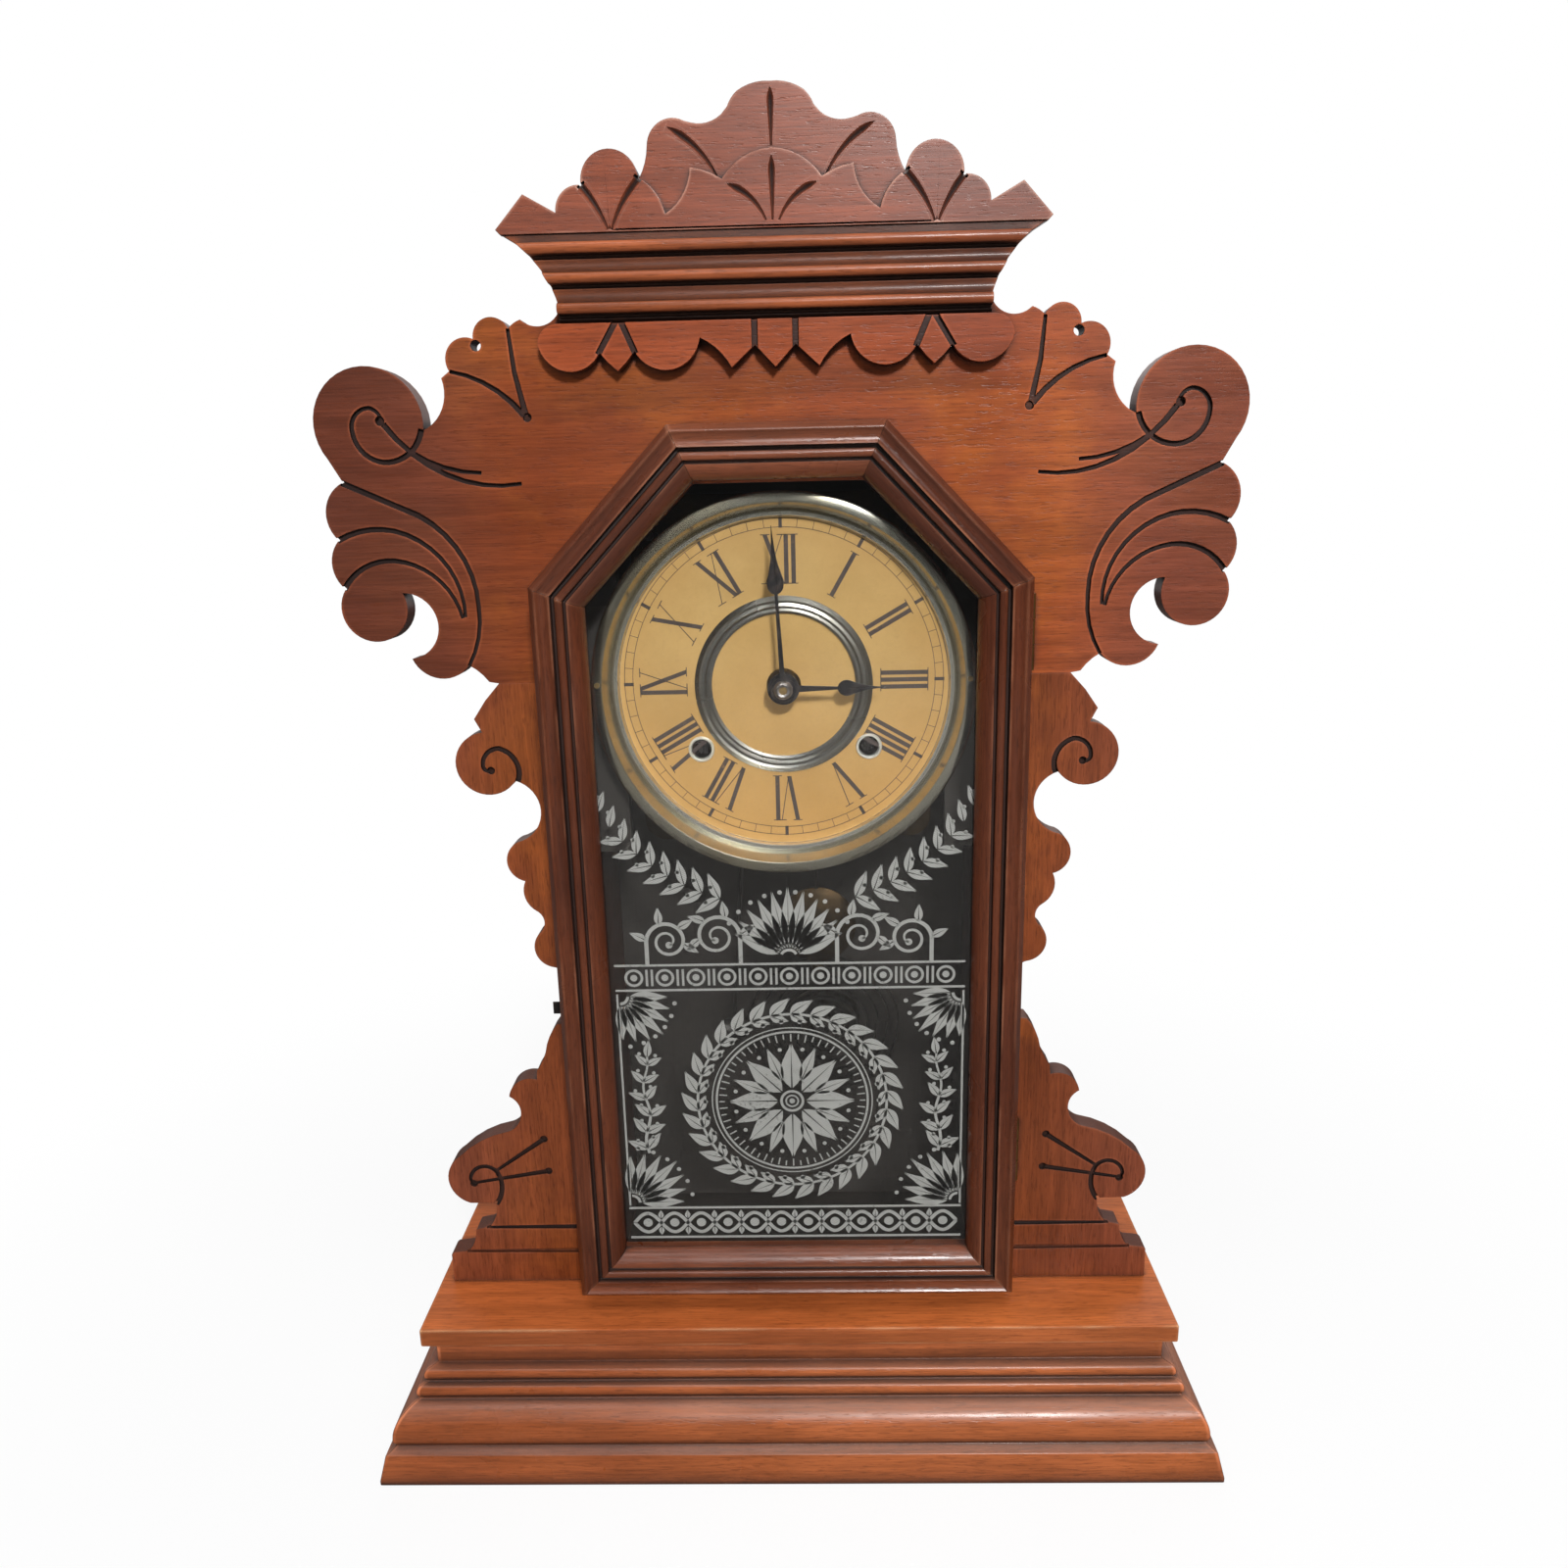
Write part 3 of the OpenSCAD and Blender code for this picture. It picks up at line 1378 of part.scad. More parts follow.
module door_hook()
  color(black_iron)
    on_shelf()
      translate([hook_x, hook_y, hook_z])
        difference() {
          union() {
            rotate([90, 0, 90])
              linear_extrude(hook_thick)
                difference() {
                  polygon([
                    each arc([0, 0], 2.6, 0, 180, 8), [-2.2, -hook_reach + 3], [-2.2, -hook_reach - hook_tail],
                    [2.2, -hook_reach - hook_tail], [2.2, -hook_reach + 3]
                  ]);
                  translate([-3, -hook_reach - pin_radius - seat_clearance])
                    square([3 + pin_radius + seat_clearance, 2 * (pin_radius + seat_clearance)]);
                }
            translate([-hook_tab, pin_radius + seat_clearance, -hook_reach - hook_tail])
              cube([hook_tab + 0.6, 0.7, 5.6]);
          }
          translate([-1, 0, 0])
            rotate([0, 90, 0])
              cylinder(h = hook_thick + 2, r = hook_screw_radius + pivot_clearance);
        }

base_front_moulding();
base_side_mouldings();
base_shelf();
case_sides();
case_top();
back_board();
upper_panel();
side_frets();
crown_cornice();
crown_pediment();
scalloped_apron();
dial_strips();
dial_pan();
dial_paper();
dial_centre_ring();
winding_grommets();
dial_nails();
front_plate();
back_plate();
plate_pillars();
pillar_nuts();
movement_battens();
movement_screws();
mainsprings();
suspension_post();
gong_base();
gong_coil();
hinge_case_leaves();
hook_screw();
time_great_wheel();
time_click();
time_winding_arbor();
time_second_wheel();
centre_wheel();
time_fourth_wheel();
escape_wheel();
verge();
pendulum_rod();
pendulum_bob();
rating_nut();
minute_hand();
hand_nut();
hour_hand();
hour_wheel();
minute_wheel();
strike_great_wheel();
strike_click();
strike_winding_arbor();
strike_second_wheel();
strike_third_wheel();
strike_fly();
count_wheel();
strike_hammer();
door_stiles();
door_rails();
door_diagonals();
door_glass();
hinge_door_leaves();
door_catch_pin();
door_hook();
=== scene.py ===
import math

import bmesh
import bpy
from mathutils import Matrix, Vector


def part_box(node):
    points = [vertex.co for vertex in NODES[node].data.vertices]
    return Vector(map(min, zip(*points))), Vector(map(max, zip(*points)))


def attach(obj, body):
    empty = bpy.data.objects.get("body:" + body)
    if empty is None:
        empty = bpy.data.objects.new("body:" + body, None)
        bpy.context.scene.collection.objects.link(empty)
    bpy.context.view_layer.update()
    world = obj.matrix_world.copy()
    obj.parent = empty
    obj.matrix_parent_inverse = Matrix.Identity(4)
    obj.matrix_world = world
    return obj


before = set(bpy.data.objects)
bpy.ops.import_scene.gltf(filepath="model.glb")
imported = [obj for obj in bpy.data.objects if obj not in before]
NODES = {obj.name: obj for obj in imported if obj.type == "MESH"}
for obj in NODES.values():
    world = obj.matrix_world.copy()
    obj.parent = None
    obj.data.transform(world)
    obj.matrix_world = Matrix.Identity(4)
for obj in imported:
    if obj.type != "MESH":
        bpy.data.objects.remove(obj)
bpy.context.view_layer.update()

MM = 0.001

# Places shared with the CAD model, in millimetres: the panel's front face, and the dial's middle
PANEL_Y = -12.1
DIAL_Z = 338.5

# The case's inside, painted dark as shade, and the foot of the fascia under the shelf, above which the base
# has painted light, in metres
CASE_HALF = 0.0825
CASE_FRONT = -0.005
INSIDE_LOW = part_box("base_shelf")[1][2]
INSIDE_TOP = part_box("case_top")[0][2]
INSIDE_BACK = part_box("back_board")[0][1]
FASCIA = 0.0075
FASCIA_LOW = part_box("base_shelf")[0][2] - FASCIA

# The height from which the crown is drawn, in millimetres
APRON_TOP = 36.8
HEAD_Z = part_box("scalloped_apron")[1][2] / MM - APRON_TOP


# Camera: the photograph's fitted place, turn and focal length

CAMERA_AT = (9.9, -451.9 + PANEL_Y, 415.3)
CAMERA_PITCH = 14.426
CAMERA_YAW = 1.337
CAMERA_ROLL = -1.323
FOCAL_PIXELS = 1164.9
PHOTO_PIXELS = 1600
SENSOR = 36.0


def make_camera():
    """A camera with the photograph's lens, place and turn."""
    data = bpy.data.cameras.new("camera")
    data.sensor_width = SENSOR
    data.lens = FOCAL_PIXELS / PHOTO_PIXELS * SENSOR
    data.clip_start = 0.01
    data.clip_end = 50
    yaw, pitch, roll = (math.radians(a) for a in (CAMERA_YAW, CAMERA_PITCH, CAMERA_ROLL))
    look = Matrix(((1, 0, 0), (0, 0, -1), (0, 1, 0)))
    tip = Matrix.Rotation(pitch, 3, "X")
    lean = Matrix.Rotation(roll, 3, "Z")
    m = lean @ tip @ look @ Matrix.Rotation(-yaw, 3, "Z")
    turn = Matrix((m[0], -m[1], -m[2])).transposed()
    cam = bpy.data.objects.new("camera", data)
    cam.matrix_world = Matrix.Translation(Vector(CAMERA_AT) * MM) @ turn.to_4x4()
    bpy.context.scene.collection.objects.link(cam)
    bpy.context.scene.camera = cam


make_camera()


# Node helpers

class Tree:
    """The node tree of a material or a world, with short calls to add and join nodes."""

    def __init__(self, name, world=False):
        self.owner = (bpy.data.worlds if world else bpy.data.materials).new(name)
        self.owner.use_nodes = True
        self.tree = self.owner.node_tree
        self.tree.nodes.clear()
        self.out = self.add("ShaderNodeOutputWorld" if world else "ShaderNodeOutputMaterial")

    def add(self, kind, **values):
        node = self.tree.nodes.new(kind)
        for key, value in values.items():
            setattr(node, key, value)
        return node

    def put(self, socket, value):
        if hasattr(value, "is_output"):
            self.tree.links.new(value, socket)
        else:
            socket.default_value = value

    def scaled(self, scale):
        """Object coordinates times a scale, which is one number or one for each axis."""
        tc = self.add("ShaderNodeTexCoord")
        m = self.add("ShaderNodeMapping")
        self.put(m.inputs["Vector"], tc.outputs["Object"])
        m.inputs["Scale"].default_value = scale if hasattr(scale, "__len__") else (scale, scale, scale)
        return m.outputs["Vector"]

    def noise(self, at, detail=3.0, rough=0.5, distortion=0.0):
        """Noise at a vector, or at a scale of the object's coordinates."""
        n = self.add("ShaderNodeTexNoise")
        self.put(n.inputs["Vector"], at if hasattr(at, "is_output") else self.scaled(at))
        n.inputs["Scale"].default_value = 1.0
        n.inputs["Detail"].default_value = detail
        n.inputs["Roughness"].default_value = rough
        n.inputs["Distortion"].default_value = distortion
        return n.outputs["Fac"]

    def span(self, value, low, high, to_low=0.0, to_high=1.0, kind="SMOOTHSTEP"):
        n = self.add("ShaderNodeMapRange", interpolation_type=kind)
        self.put(n.inputs["Value"], value)
        n.inputs["From Min"].default_value = low
        n.inputs["From Max"].default_value = high
        n.inputs["To Min"].default_value = to_low
        n.inputs["To Max"].default_value = to_high
        return n.outputs["Result"]

    def math(self, kind, a, b=0.0):
        n = self.add("ShaderNodeMath", operation=kind)
        self.put(n.inputs[0], a)
        self.put(n.inputs[1], b)
        return n.outputs[0]

    def times(self, first, *others):
        for other in others:
            first = self.math("MULTIPLY", first, other)
        return first

    def apart(self, a, b):
        """The length of a vector from its two parts."""
        return self.math("SQRT", self.math("ADD", self.times(a, a), self.times(b, b)))

    def mix(self, fac, a, b, blend="MIX"):
        n = self.add("ShaderNodeMix", data_type="RGBA", blend_type=blend)
        self.put(n.inputs["Factor"], fac)
        for socket, value in ((n.inputs[6], a), (n.inputs[7], b)):
            self.put(socket, value if hasattr(value, "is_output") else (*value, 1.0))
        return n.outputs[2]

    def bump(self, height, strength, distance, rounded=0.0):
        n = self.add("ShaderNodeBump")
        self.put(n.inputs["Height"], height)
        if rounded:
            edge = self.add("ShaderNodeBevel", samples=4)
            edge.inputs["Radius"].default_value = rounded
            self.put(n.inputs["Normal"], edge.outputs[0])
        n.inputs["Strength"].default_value = strength
        n.inputs["Distance"].default_value = distance
        return n.outputs["Normal"]

    def hollow(self, distance, inside=False):
        """How open the surface is: 1 in the open, towards 0 in a corner, or at an edge if inside."""
        n = self.add("ShaderNodeAmbientOcclusion", samples=6, inside=inside)
        n.inputs["Distance"].default_value = distance
        return n.outputs["AO"]

    def grey(self, value):
        n = self.add("ShaderNodeCombineColor")
        for socket in n.inputs[:3]:
            self.put(socket, value)
        return n.outputs[0]

    def place(self, kind="Object"):
        """The three parts of a texture coordinate."""
        tc = self.add("ShaderNodeTexCoord")
        n = self.add("ShaderNodeSeparateXYZ")
        self.put(n.inputs[0], tc.outputs[kind])
        return n.outputs[:3]

    def from_dial(self):
        """Distance from the dial's axis."""
        x, _, z = self.place()
        return self.apart(x, self.math("SUBTRACT", z, DIAL_Z * MM))

    def surface(self, **values):
        n = self.add("ShaderNodeBsdfPrincipled")
        for key, value in values.items():
            self.put(n.inputs[key], value)
        self.put(self.out.inputs["Surface"], n.outputs[0])
        return n

    def either(self, fac, first, second):
        """Shows the first shader where fac is 0 and the second where it is 1."""
        n = self.add("ShaderNodeMixShader")
        for socket, value in zip(n.inputs, (fac, first.outputs[0], second.outputs[0])):
            self.put(socket, value)
        self.put(self.out.inputs["Surface"], n.outputs[0])


# Materials

INSIDE_SHADE = 0.010, 0.007, 0.005
GRIME_SHADE = 0.013, 0.0085, 0.0075
GROOVE = 0.024, 0.016, 0.015
DUST_SHEEN = 0.44, 0.33, 0.27

# Depths between which a carved line's floor is painted dark as shade, and clears again, in millimetres
GROOVE_STARTS = 0.35, 1.0
GROOVE_ENDS = 1.85, 1.6

# In metres: the reach of a worn edge and its painted highlight, where the back board's painted shade ends,
# and the radii over which the pan turns brassy
EDGE_REACH = 0.0014
INSIDE_SHADE_ENDS = 0.0585, 0.0605
BRASSY_RIM = 0.0684, 0.0700


def tinted(colour, by):
    return tuple(c * by for c in colour)


def wood(
    name, along, light, dark, tilt=0.0, rough=0.38, shine=0.2, reach=0.0042, grime_shade_span=(0.88, 0.4), wear_and_glint=0.4, fronts=(),
    lean=0.0, rounded=0.0005, shade_inside=False, bare_glint_tone=None, faced=None, dust_and_light=0.0, cut=0.7, patches=None, quiet_below=0.0,
):
    """Shellacked walnut: broad tone, plain-sawn figure, fibres and pores along the grain, grime and painted shade,
    worn edges and painted highlights.

    along and tilt lay the grain, light and dark are its two tones, and faced gives other tones to the front.
    rough and shine set the finish, and rounded is the radius to which the shading softens an edge.
    reach and grime_shade_span set the grime and painted shade in corners.
    wear_and_glint and bare_glint_tone set the rubbed edges with their painted highlights.
    dust_and_light sets the dust and painted highlights on ledges, and the painted light over the fascia.
    fronts are the faces whose carved lines are painted dark as shade, by their Y from the panel's front in millimetres.
    cut darkens sawn edges, as dark end grain and painted shade, lean paints shade on the left and the far sides,
    and patches are two more tones.
    Below quiet_below the grime and painted shade are fainter, and shade_inside paints what lies inside the case
    near black as shade.
    """
    t = Tree(name)
    x, y, z = t.place()
    side = t.math("ABSOLUTE", x)
    if tilt:
        mirrored = t.add("ShaderNodeCombineXYZ")
        for socket, value in zip(mirrored.inputs, (side, y, z)):
            t.put(socket, value)

    def grain(lengthwise, across):
        scale = [across] * 3
        scale["XYZ".index(along)] = lengthwise
        if not tilt:
            return t.scaled(scale)
        turned = t.add("ShaderNodeMapping")
        t.put(turned.inputs["Vector"], mirrored.outputs[0])
        turned.inputs["Rotation"].default_value = (0, math.radians(tilt), 0)
        sized = t.add("ShaderNodeMapping")
        t.put(sized.inputs["Vector"], turned.outputs[0])
        sized.inputs["Scale"].default_value = scale
        return sized.outputs[0]

    def shaded(colour, by):
        return t.mix(1.0, colour, t.grey(by), "MULTIPLY")

    # Tone, figure and pores
    broad = t.noise(9)
    figure = t.noise(grain(7, 85), detail=4, rough=0.6, distortion=1.0)
    fibres = t.noise(grain(42, 1150), detail=4, rough=0.6)
    pores = t.noise(grain(190, 1700), detail=1)
    colour = t.mix(t.span(broad, 0.32, 0.68), dark, light)
    if patches:
        spots = t.noise(13, detail=5, rough=0.65)
        colour = t.mix(t.span(spots, 0.46, 0.68, 0.0, 0.65), colour, patches[0])
        colour = t.mix(t.span(side, 0.10, 0.15, 0.0, 0.7), colour, patches[1])
    _, forward, upward = t.place("Normal")
    facing = t.span(t.math("ABSOLUTE", forward), 0.25, 0.72)
    if faced:
        colour = t.mix(facing, colour, t.mix(t.span(broad, 0.32, 0.68), faced[1], faced[0]))
    colour = shaded(colour, t.times(t.span(figure, 0.28, 0.72, 0.76, 1.14), t.span(fibres, 0.3, 0.72, 0.82, 1.12)))
    # Painted shade: light falling off towards the left and the far sides
    if lean:
        left = t.span(x, -0.19, 0.12, 1 - lean, 1.0)
        colour = shaded(colour, t.times(left, t.span(side, 0.10, 0.17, 1.0, 1 - lean * 0.4)))
    flecks = t.noise(grain(110, 1250), detail=2, rough=0.6)
    colour = t.mix(t.span(flecks, 0.54, 0.70, 0.0, 0.42), colour, tinted(dark, 0.45))
    pore = t.span(pores, 0.61, 0.70)
    colour = t.mix(t.times(pore, 0.34), colour, tinted(dark, 0.35))

    # Sawn edges darkened as dark end grain and painted shade, and the floors of carved lines painted dark as shade
    loud = t.span(z, quiet_below, quiet_below + 0.002, 0.3, 1.0) if quiet_below else 1.0
    if fronts:
        # Dark end grain and painted shade on faces that turn away from the front
        colour = t.mix(t.times(t.math("SUBTRACT", 1.0, facing), cut), colour, tinted(dark, 0.3))
        for front in fronts:
            at = PANEL_Y + front
            starts, ends = (t.span(y, *((at + d) * MM for d in depths)) for depths in (GROOVE_STARTS, GROOVE_ENDS))
            floor = t.times(starts, ends, facing)
            # Painted shade on the floors of carved lines
            colour = t.mix(t.times(floor, t.times(loud, 0.8)), colour, GROOVE)

    # Worn edges and painted highlights, dust and painted highlights on ledges, painted light on the fascia,
    # grime and painted shade in corners, painted shade inside the case
    # Worn edges and painted highlight: convex edges are lightened in spots, partly rubbed wear and partly painted
    # highlight on the arrises
    rubbed = t.span(t.noise(38, detail=4), 0.48 - 0.12 * wear_and_glint, 0.66)
    edge = t.span(t.hollow(EDGE_REACH, inside=True), 0.9, 0.55)
    bare_glint_tone = bare_glint_tone or tuple(min(1, c * 1.6 + 0.03) for c in light)
    colour = t.mix(t.times(edge, rubbed, wear_and_glint), colour, bare_glint_tone)
    if dust_and_light:
        # Painted light: the base is made 1.6 times lighter above the fascia's foot, where the shelf's overhang shades
        # it
        colour = shaded(colour, t.span(z, FASCIA_LOW, FASCIA_LOW + 0.002, 1.0, 1.6))
        # Dust and painted highlight: faces that look up are greyed lighter
        lying = t.times(t.span(upward, 0.45, 0.85), t.span(broad, 0.35, 0.6, 0.5 * dust_and_light, dust_and_light))
        colour = t.mix(lying, colour, DUST_SHEEN)
    # Grime and painted shade: darker, and rougher, where corners and recesses close in
    grime_shade = t.span(t.hollow(reach), *grime_shade_span)
    colour = t.mix(t.times(grime_shade, t.times(loud, 0.94)), colour, GRIME_SHADE)
    # Painted shade: what lies inside the case is made near black
    if shade_inside:
        within = t.times(
            t.span(side, CASE_HALF + 0.001, CASE_HALF - 0.001),
            t.span(y, CASE_FRONT - 0.0015, CASE_FRONT + 0.0015),
            t.span(y, INSIDE_BACK + 0.0004, INSIDE_BACK + 0.0002),
            t.span(z, INSIDE_LOW - 0.0004, INSIDE_LOW - 0.0002),
            t.span(z, INSIDE_TOP + 0.0004, INSIDE_TOP + 0.0002),
        )
        colour = t.mix(within, colour, INSIDE_SHADE)

    height = t.math("SUBTRACT", t.times(fibres, 0.5), pore)
    gloss = t.span(t.noise(21, detail=4, rough=0.6), 0.3, 0.7, rough - 0.06, rough + 0.10)
    t.surface(**{
        "Base Color": colour, "Roughness": t.math("ADD", gloss, t.times(grime_shade, 0.2)),
        "Normal": t.bump(height, 0.2, 0.0003, rounded), "Coat Weight": 0.08, "Coat Roughness": 0.14,
        "Specular IOR Level": shine,
    })
    return t.owner


def metal(name, bright, tarnish, rough, patch, amount):
    """Worn metal: tarnish in patches and corners, fine scratches, uneven polish."""
    t = Tree(name)
    spots = t.noise(patch, detail=5, rough=0.55)
    scratch = t.noise((900, 900, 180))
    aged = t.times(t.span(spots, 0.36, 0.7), amount)
    corner = t.span(t.hollow(0.004), 0.8, 0.35)
    colour = t.mix(t.math("MAXIMUM", aged, t.times(corner, 0.8)), bright, tarnish)
    polish = t.span(scratch, 0.3, 0.7, rough - 0.03, rough + 0.04)
    t.surface(**{
        "Base Color": colour, "Metallic": 1.0,
        "Roughness": t.math("ADD", polish, t.times(aged, 0.14)),
        "Normal": t.bump(scratch, 0.03, 0.00005),
    })
    return t.owner


def plated(name, bright, tarnish, rough, brassy=None):
    """Old tin plate: smooth, with broad warm tarnish and a few faint specks; brassy towards the dial's rim if asked."""
    t = Tree(name)
    cloud = t.noise(24, detail=2)
    specks = t.noise(420, detail=2)
    colour = t.mix(t.times(t.span(cloud, 0.35, 0.68), 0.75), bright, tarnish)
    if brassy:
        colour = t.mix(t.span(t.from_dial(), *BRASSY_RIM), colour, t.mix(t.span(cloud, 0.35, 0.68), *brassy))
    colour = t.mix(t.times(t.span(specks, 0.68, 0.78), 0.35), colour, tinted(tarnish, 0.5))
    polish = t.span(cloud, 0.3, 0.7, rough - 0.03, rough + 0.05)
    t.surface(**{"Base Color": colour, "Metallic": 1.0, "Roughness": polish})
    return t.owner


def black_steel():
    """Blued hands and hook, gone nearly black, with a little rust."""
    t = Tree("black_steel")
    spots = t.noise(160, detail=5)
    colour = t.mix(t.span(spots, 0.45, 0.75), (0.012, 0.011, 0.013), (0.045, 0.032, 0.026))
    t.surface(**{
        "Base Color": colour, "Metallic": 0.6, "Roughness": t.span(spots, 0.3, 0.7, 0.3, 0.5),
        "Normal": t.bump(spots, 0.1, 0.0001),
    })
    return t.owner


def aged_paper():
    """Old dial paper: tan, warmer and darker towards its edge, with stains and fibres."""
    t = Tree("aged_paper")
    radius = t.from_dial()
    cloud = t.noise(26, detail=5, rough=0.6)
    blots = t.noise(60, detail=6, rough=0.7, distortion=0.8)
    fibre = t.noise(900)
    lower = t.span(t.place()[2], (DIAL_Z + 34) * MM, (DIAL_Z - 64) * MM, 0.0, 0.7)
    colour = t.mix(t.span(cloud, 0.32, 0.7), (0.44, 0.265, 0.078), (0.51, 0.325, 0.112))
    for where, tone in (
        (t.times(t.span(radius, 0.048, 0.067), 0.3), (0.43, 0.235, 0.062)),
        (t.times(t.span(radius, 0.030, 0.0), 0.35), (0.45, 0.25, 0.066)),
        (lower, (0.44, 0.23, 0.056)),
        (t.times(t.span(blots, 0.62, 0.8), 0.5), (0.21, 0.11, 0.035)),
        (t.times(t.span(fibre, 0.45, 0.75), 0.12), (0.25, 0.14, 0.045)),
    ):
        colour = t.mix(where, colour, tone)
    t.surface(**{
        "Base Color": colour, "Roughness": t.span(cloud, 0.3, 0.7, 0.55, 0.7),
        "Normal": t.bump(fibre, 0.1, 0.0001),
    })
    return t.owner


def print_ink(name, light, dark, worn_from, hatch=0.0):
    """Printed marks, rubbed thin in specks, and with slanting lines if hatch gives their closeness."""
    t = Tree(name)
    specks = t.noise(700, detail=4, rough=0.7)
    cloud = t.noise(60, detail=4)
    thin = t.math("ADD", t.times(specks, 0.65), t.times(cloud, 0.35))
    colour = t.mix(t.span(thin, worn_from, worn_from + 0.12), light, dark)
    if hatch:
        x, _, z = t.place()
        lines = t.math("SINE", t.times(t.math("ADD", t.times(x, 0.6), z), hatch))
        colour = t.mix(t.span(lines, 0.1, 0.9, 0.0, 0.45), colour, dark)
    t.surface(**{"Base Color": colour, "Roughness": t.span(specks, 0.3, 0.7, 0.5, 0.7)})
    return t.owner


def window_glass():
    """Old clear glass that lets lamps through, with a faint unevenness and a film of dust."""
    t = Tree("window_glass")
    wave = t.noise((9, 9, 7), detail=2)
    dust = t.noise(40, detail=6, rough=0.65)
    glass = t.surface(**{
        "Base Color": t.mix(t.span(dust, 0.3, 0.8), (0.97, 0.98, 0.97), (0.90, 0.91, 0.89)),
        "Roughness": t.span(dust, 0.35, 0.8, 0.0, 0.03), "IOR": 1.5, "Transmission Weight": 1.0,
        "Normal": t.bump(wave, 0.06, 0.002),
    })
    ray = t.add("ShaderNodeLightPath").outputs
    unbent = t.math("MAXIMUM", ray["Is Shadow Ray"], ray["Is Diffuse Ray"])
    t.either(unbent, glass, t.add("ShaderNodeBsdfTransparent"))
    return t.owner


def inner_wood():
    """Back board and inner battens: painted dark as shade towards the inside of the case, plain old pine behind."""
    t = Tree("inner_wood")
    y = t.place()[1]
    patches = t.noise((13, 13, 2.2), distortion=0.6)
    fibres = t.noise((520, 520, 14), detail=5, rough=0.6)
    outside = t.mix(t.span(patches, 0.35, 0.65), (0.21, 0.095, 0.042), (0.34, 0.17, 0.08))
    # Painted shade on the back board where it faces into the case
    colour = t.mix(t.span(y, *INSIDE_SHADE_ENDS), INSIDE_SHADE, outside)
    colour = t.mix(t.times(t.span(fibres, 0.4, 0.7), 0.35), colour, (0.012, 0.008, 0.005))
    t.surface(**{
        "Base Color": colour, "Roughness": t.span(patches, 0.3, 0.7, 0.6, 0.75),
        "Normal": t.bump(fibres, 0.25, 0.0003),
    })
    return t.owner


# Each wood's light and dark tones
CASE = (0.325, 0.072, 0.0185), (0.236, 0.047, 0.0125)
FRET = (0.208, 0.049, 0.014), (0.146, 0.033, 0.0095)
CROWN = (0.235, 0.052, 0.019), (0.165, 0.036, 0.014)
APRON = (0.310, 0.066, 0.0195), (0.225, 0.045, 0.0140)
CORNICE = (0.330, 0.086, 0.027), (0.225, 0.056, 0.019)
BASE = (0.375, 0.102, 0.030), (0.270, 0.068, 0.020)
# The shelf's tones are painted light: the base's wood made lighter for a top that the lamps graze
SHELF_LIT = (0.600, 0.160, 0.040), (0.430, 0.105, 0.027)
DOOR = (0.112, 0.028, 0.0105), (0.068, 0.016, 0.0065)
# The rails' tones are painted light: the door's wood made lighter for rails that face up to the lamps
RAIL_LIT = (0.200, 0.055, 0.022), (0.130, 0.034, 0.014)

# More tones in patches: one in spots, one towards the far sides
PANEL_PATCHES = (0.41, 0.107, 0.018), (0.180, 0.052, 0.034)
FRET_PATCHES = (0.32, 0.082, 0.015), (0.20, 0.052, 0.026)

# Where grime and painted shade start and are full by the openness of a corner, and the values that like pieces share
QUIRK = 0.88, 0.42
DEEP_GRIME_SHADE = 0.97, 0.6
CARVED = dict(shine=0.4, fronts=(0, -2))
MOULDED = dict(rough=0.30, shine=0.34, reach=0.009, grime_shade_span=DEEP_GRIME_SHADE, wear_and_glint=0.9, dust_and_light=0.2)
FRAMED = dict(rough=0.3, reach=0.0036, grime_shade_span=QUIRK, wear_and_glint=0.9, bare_glint_tone=(0.25, 0.095, 0.05), rounded=0.0003)
SLANT = -math.degrees(math.atan2(57.5, 55))
FRET_FOOT = 0.088

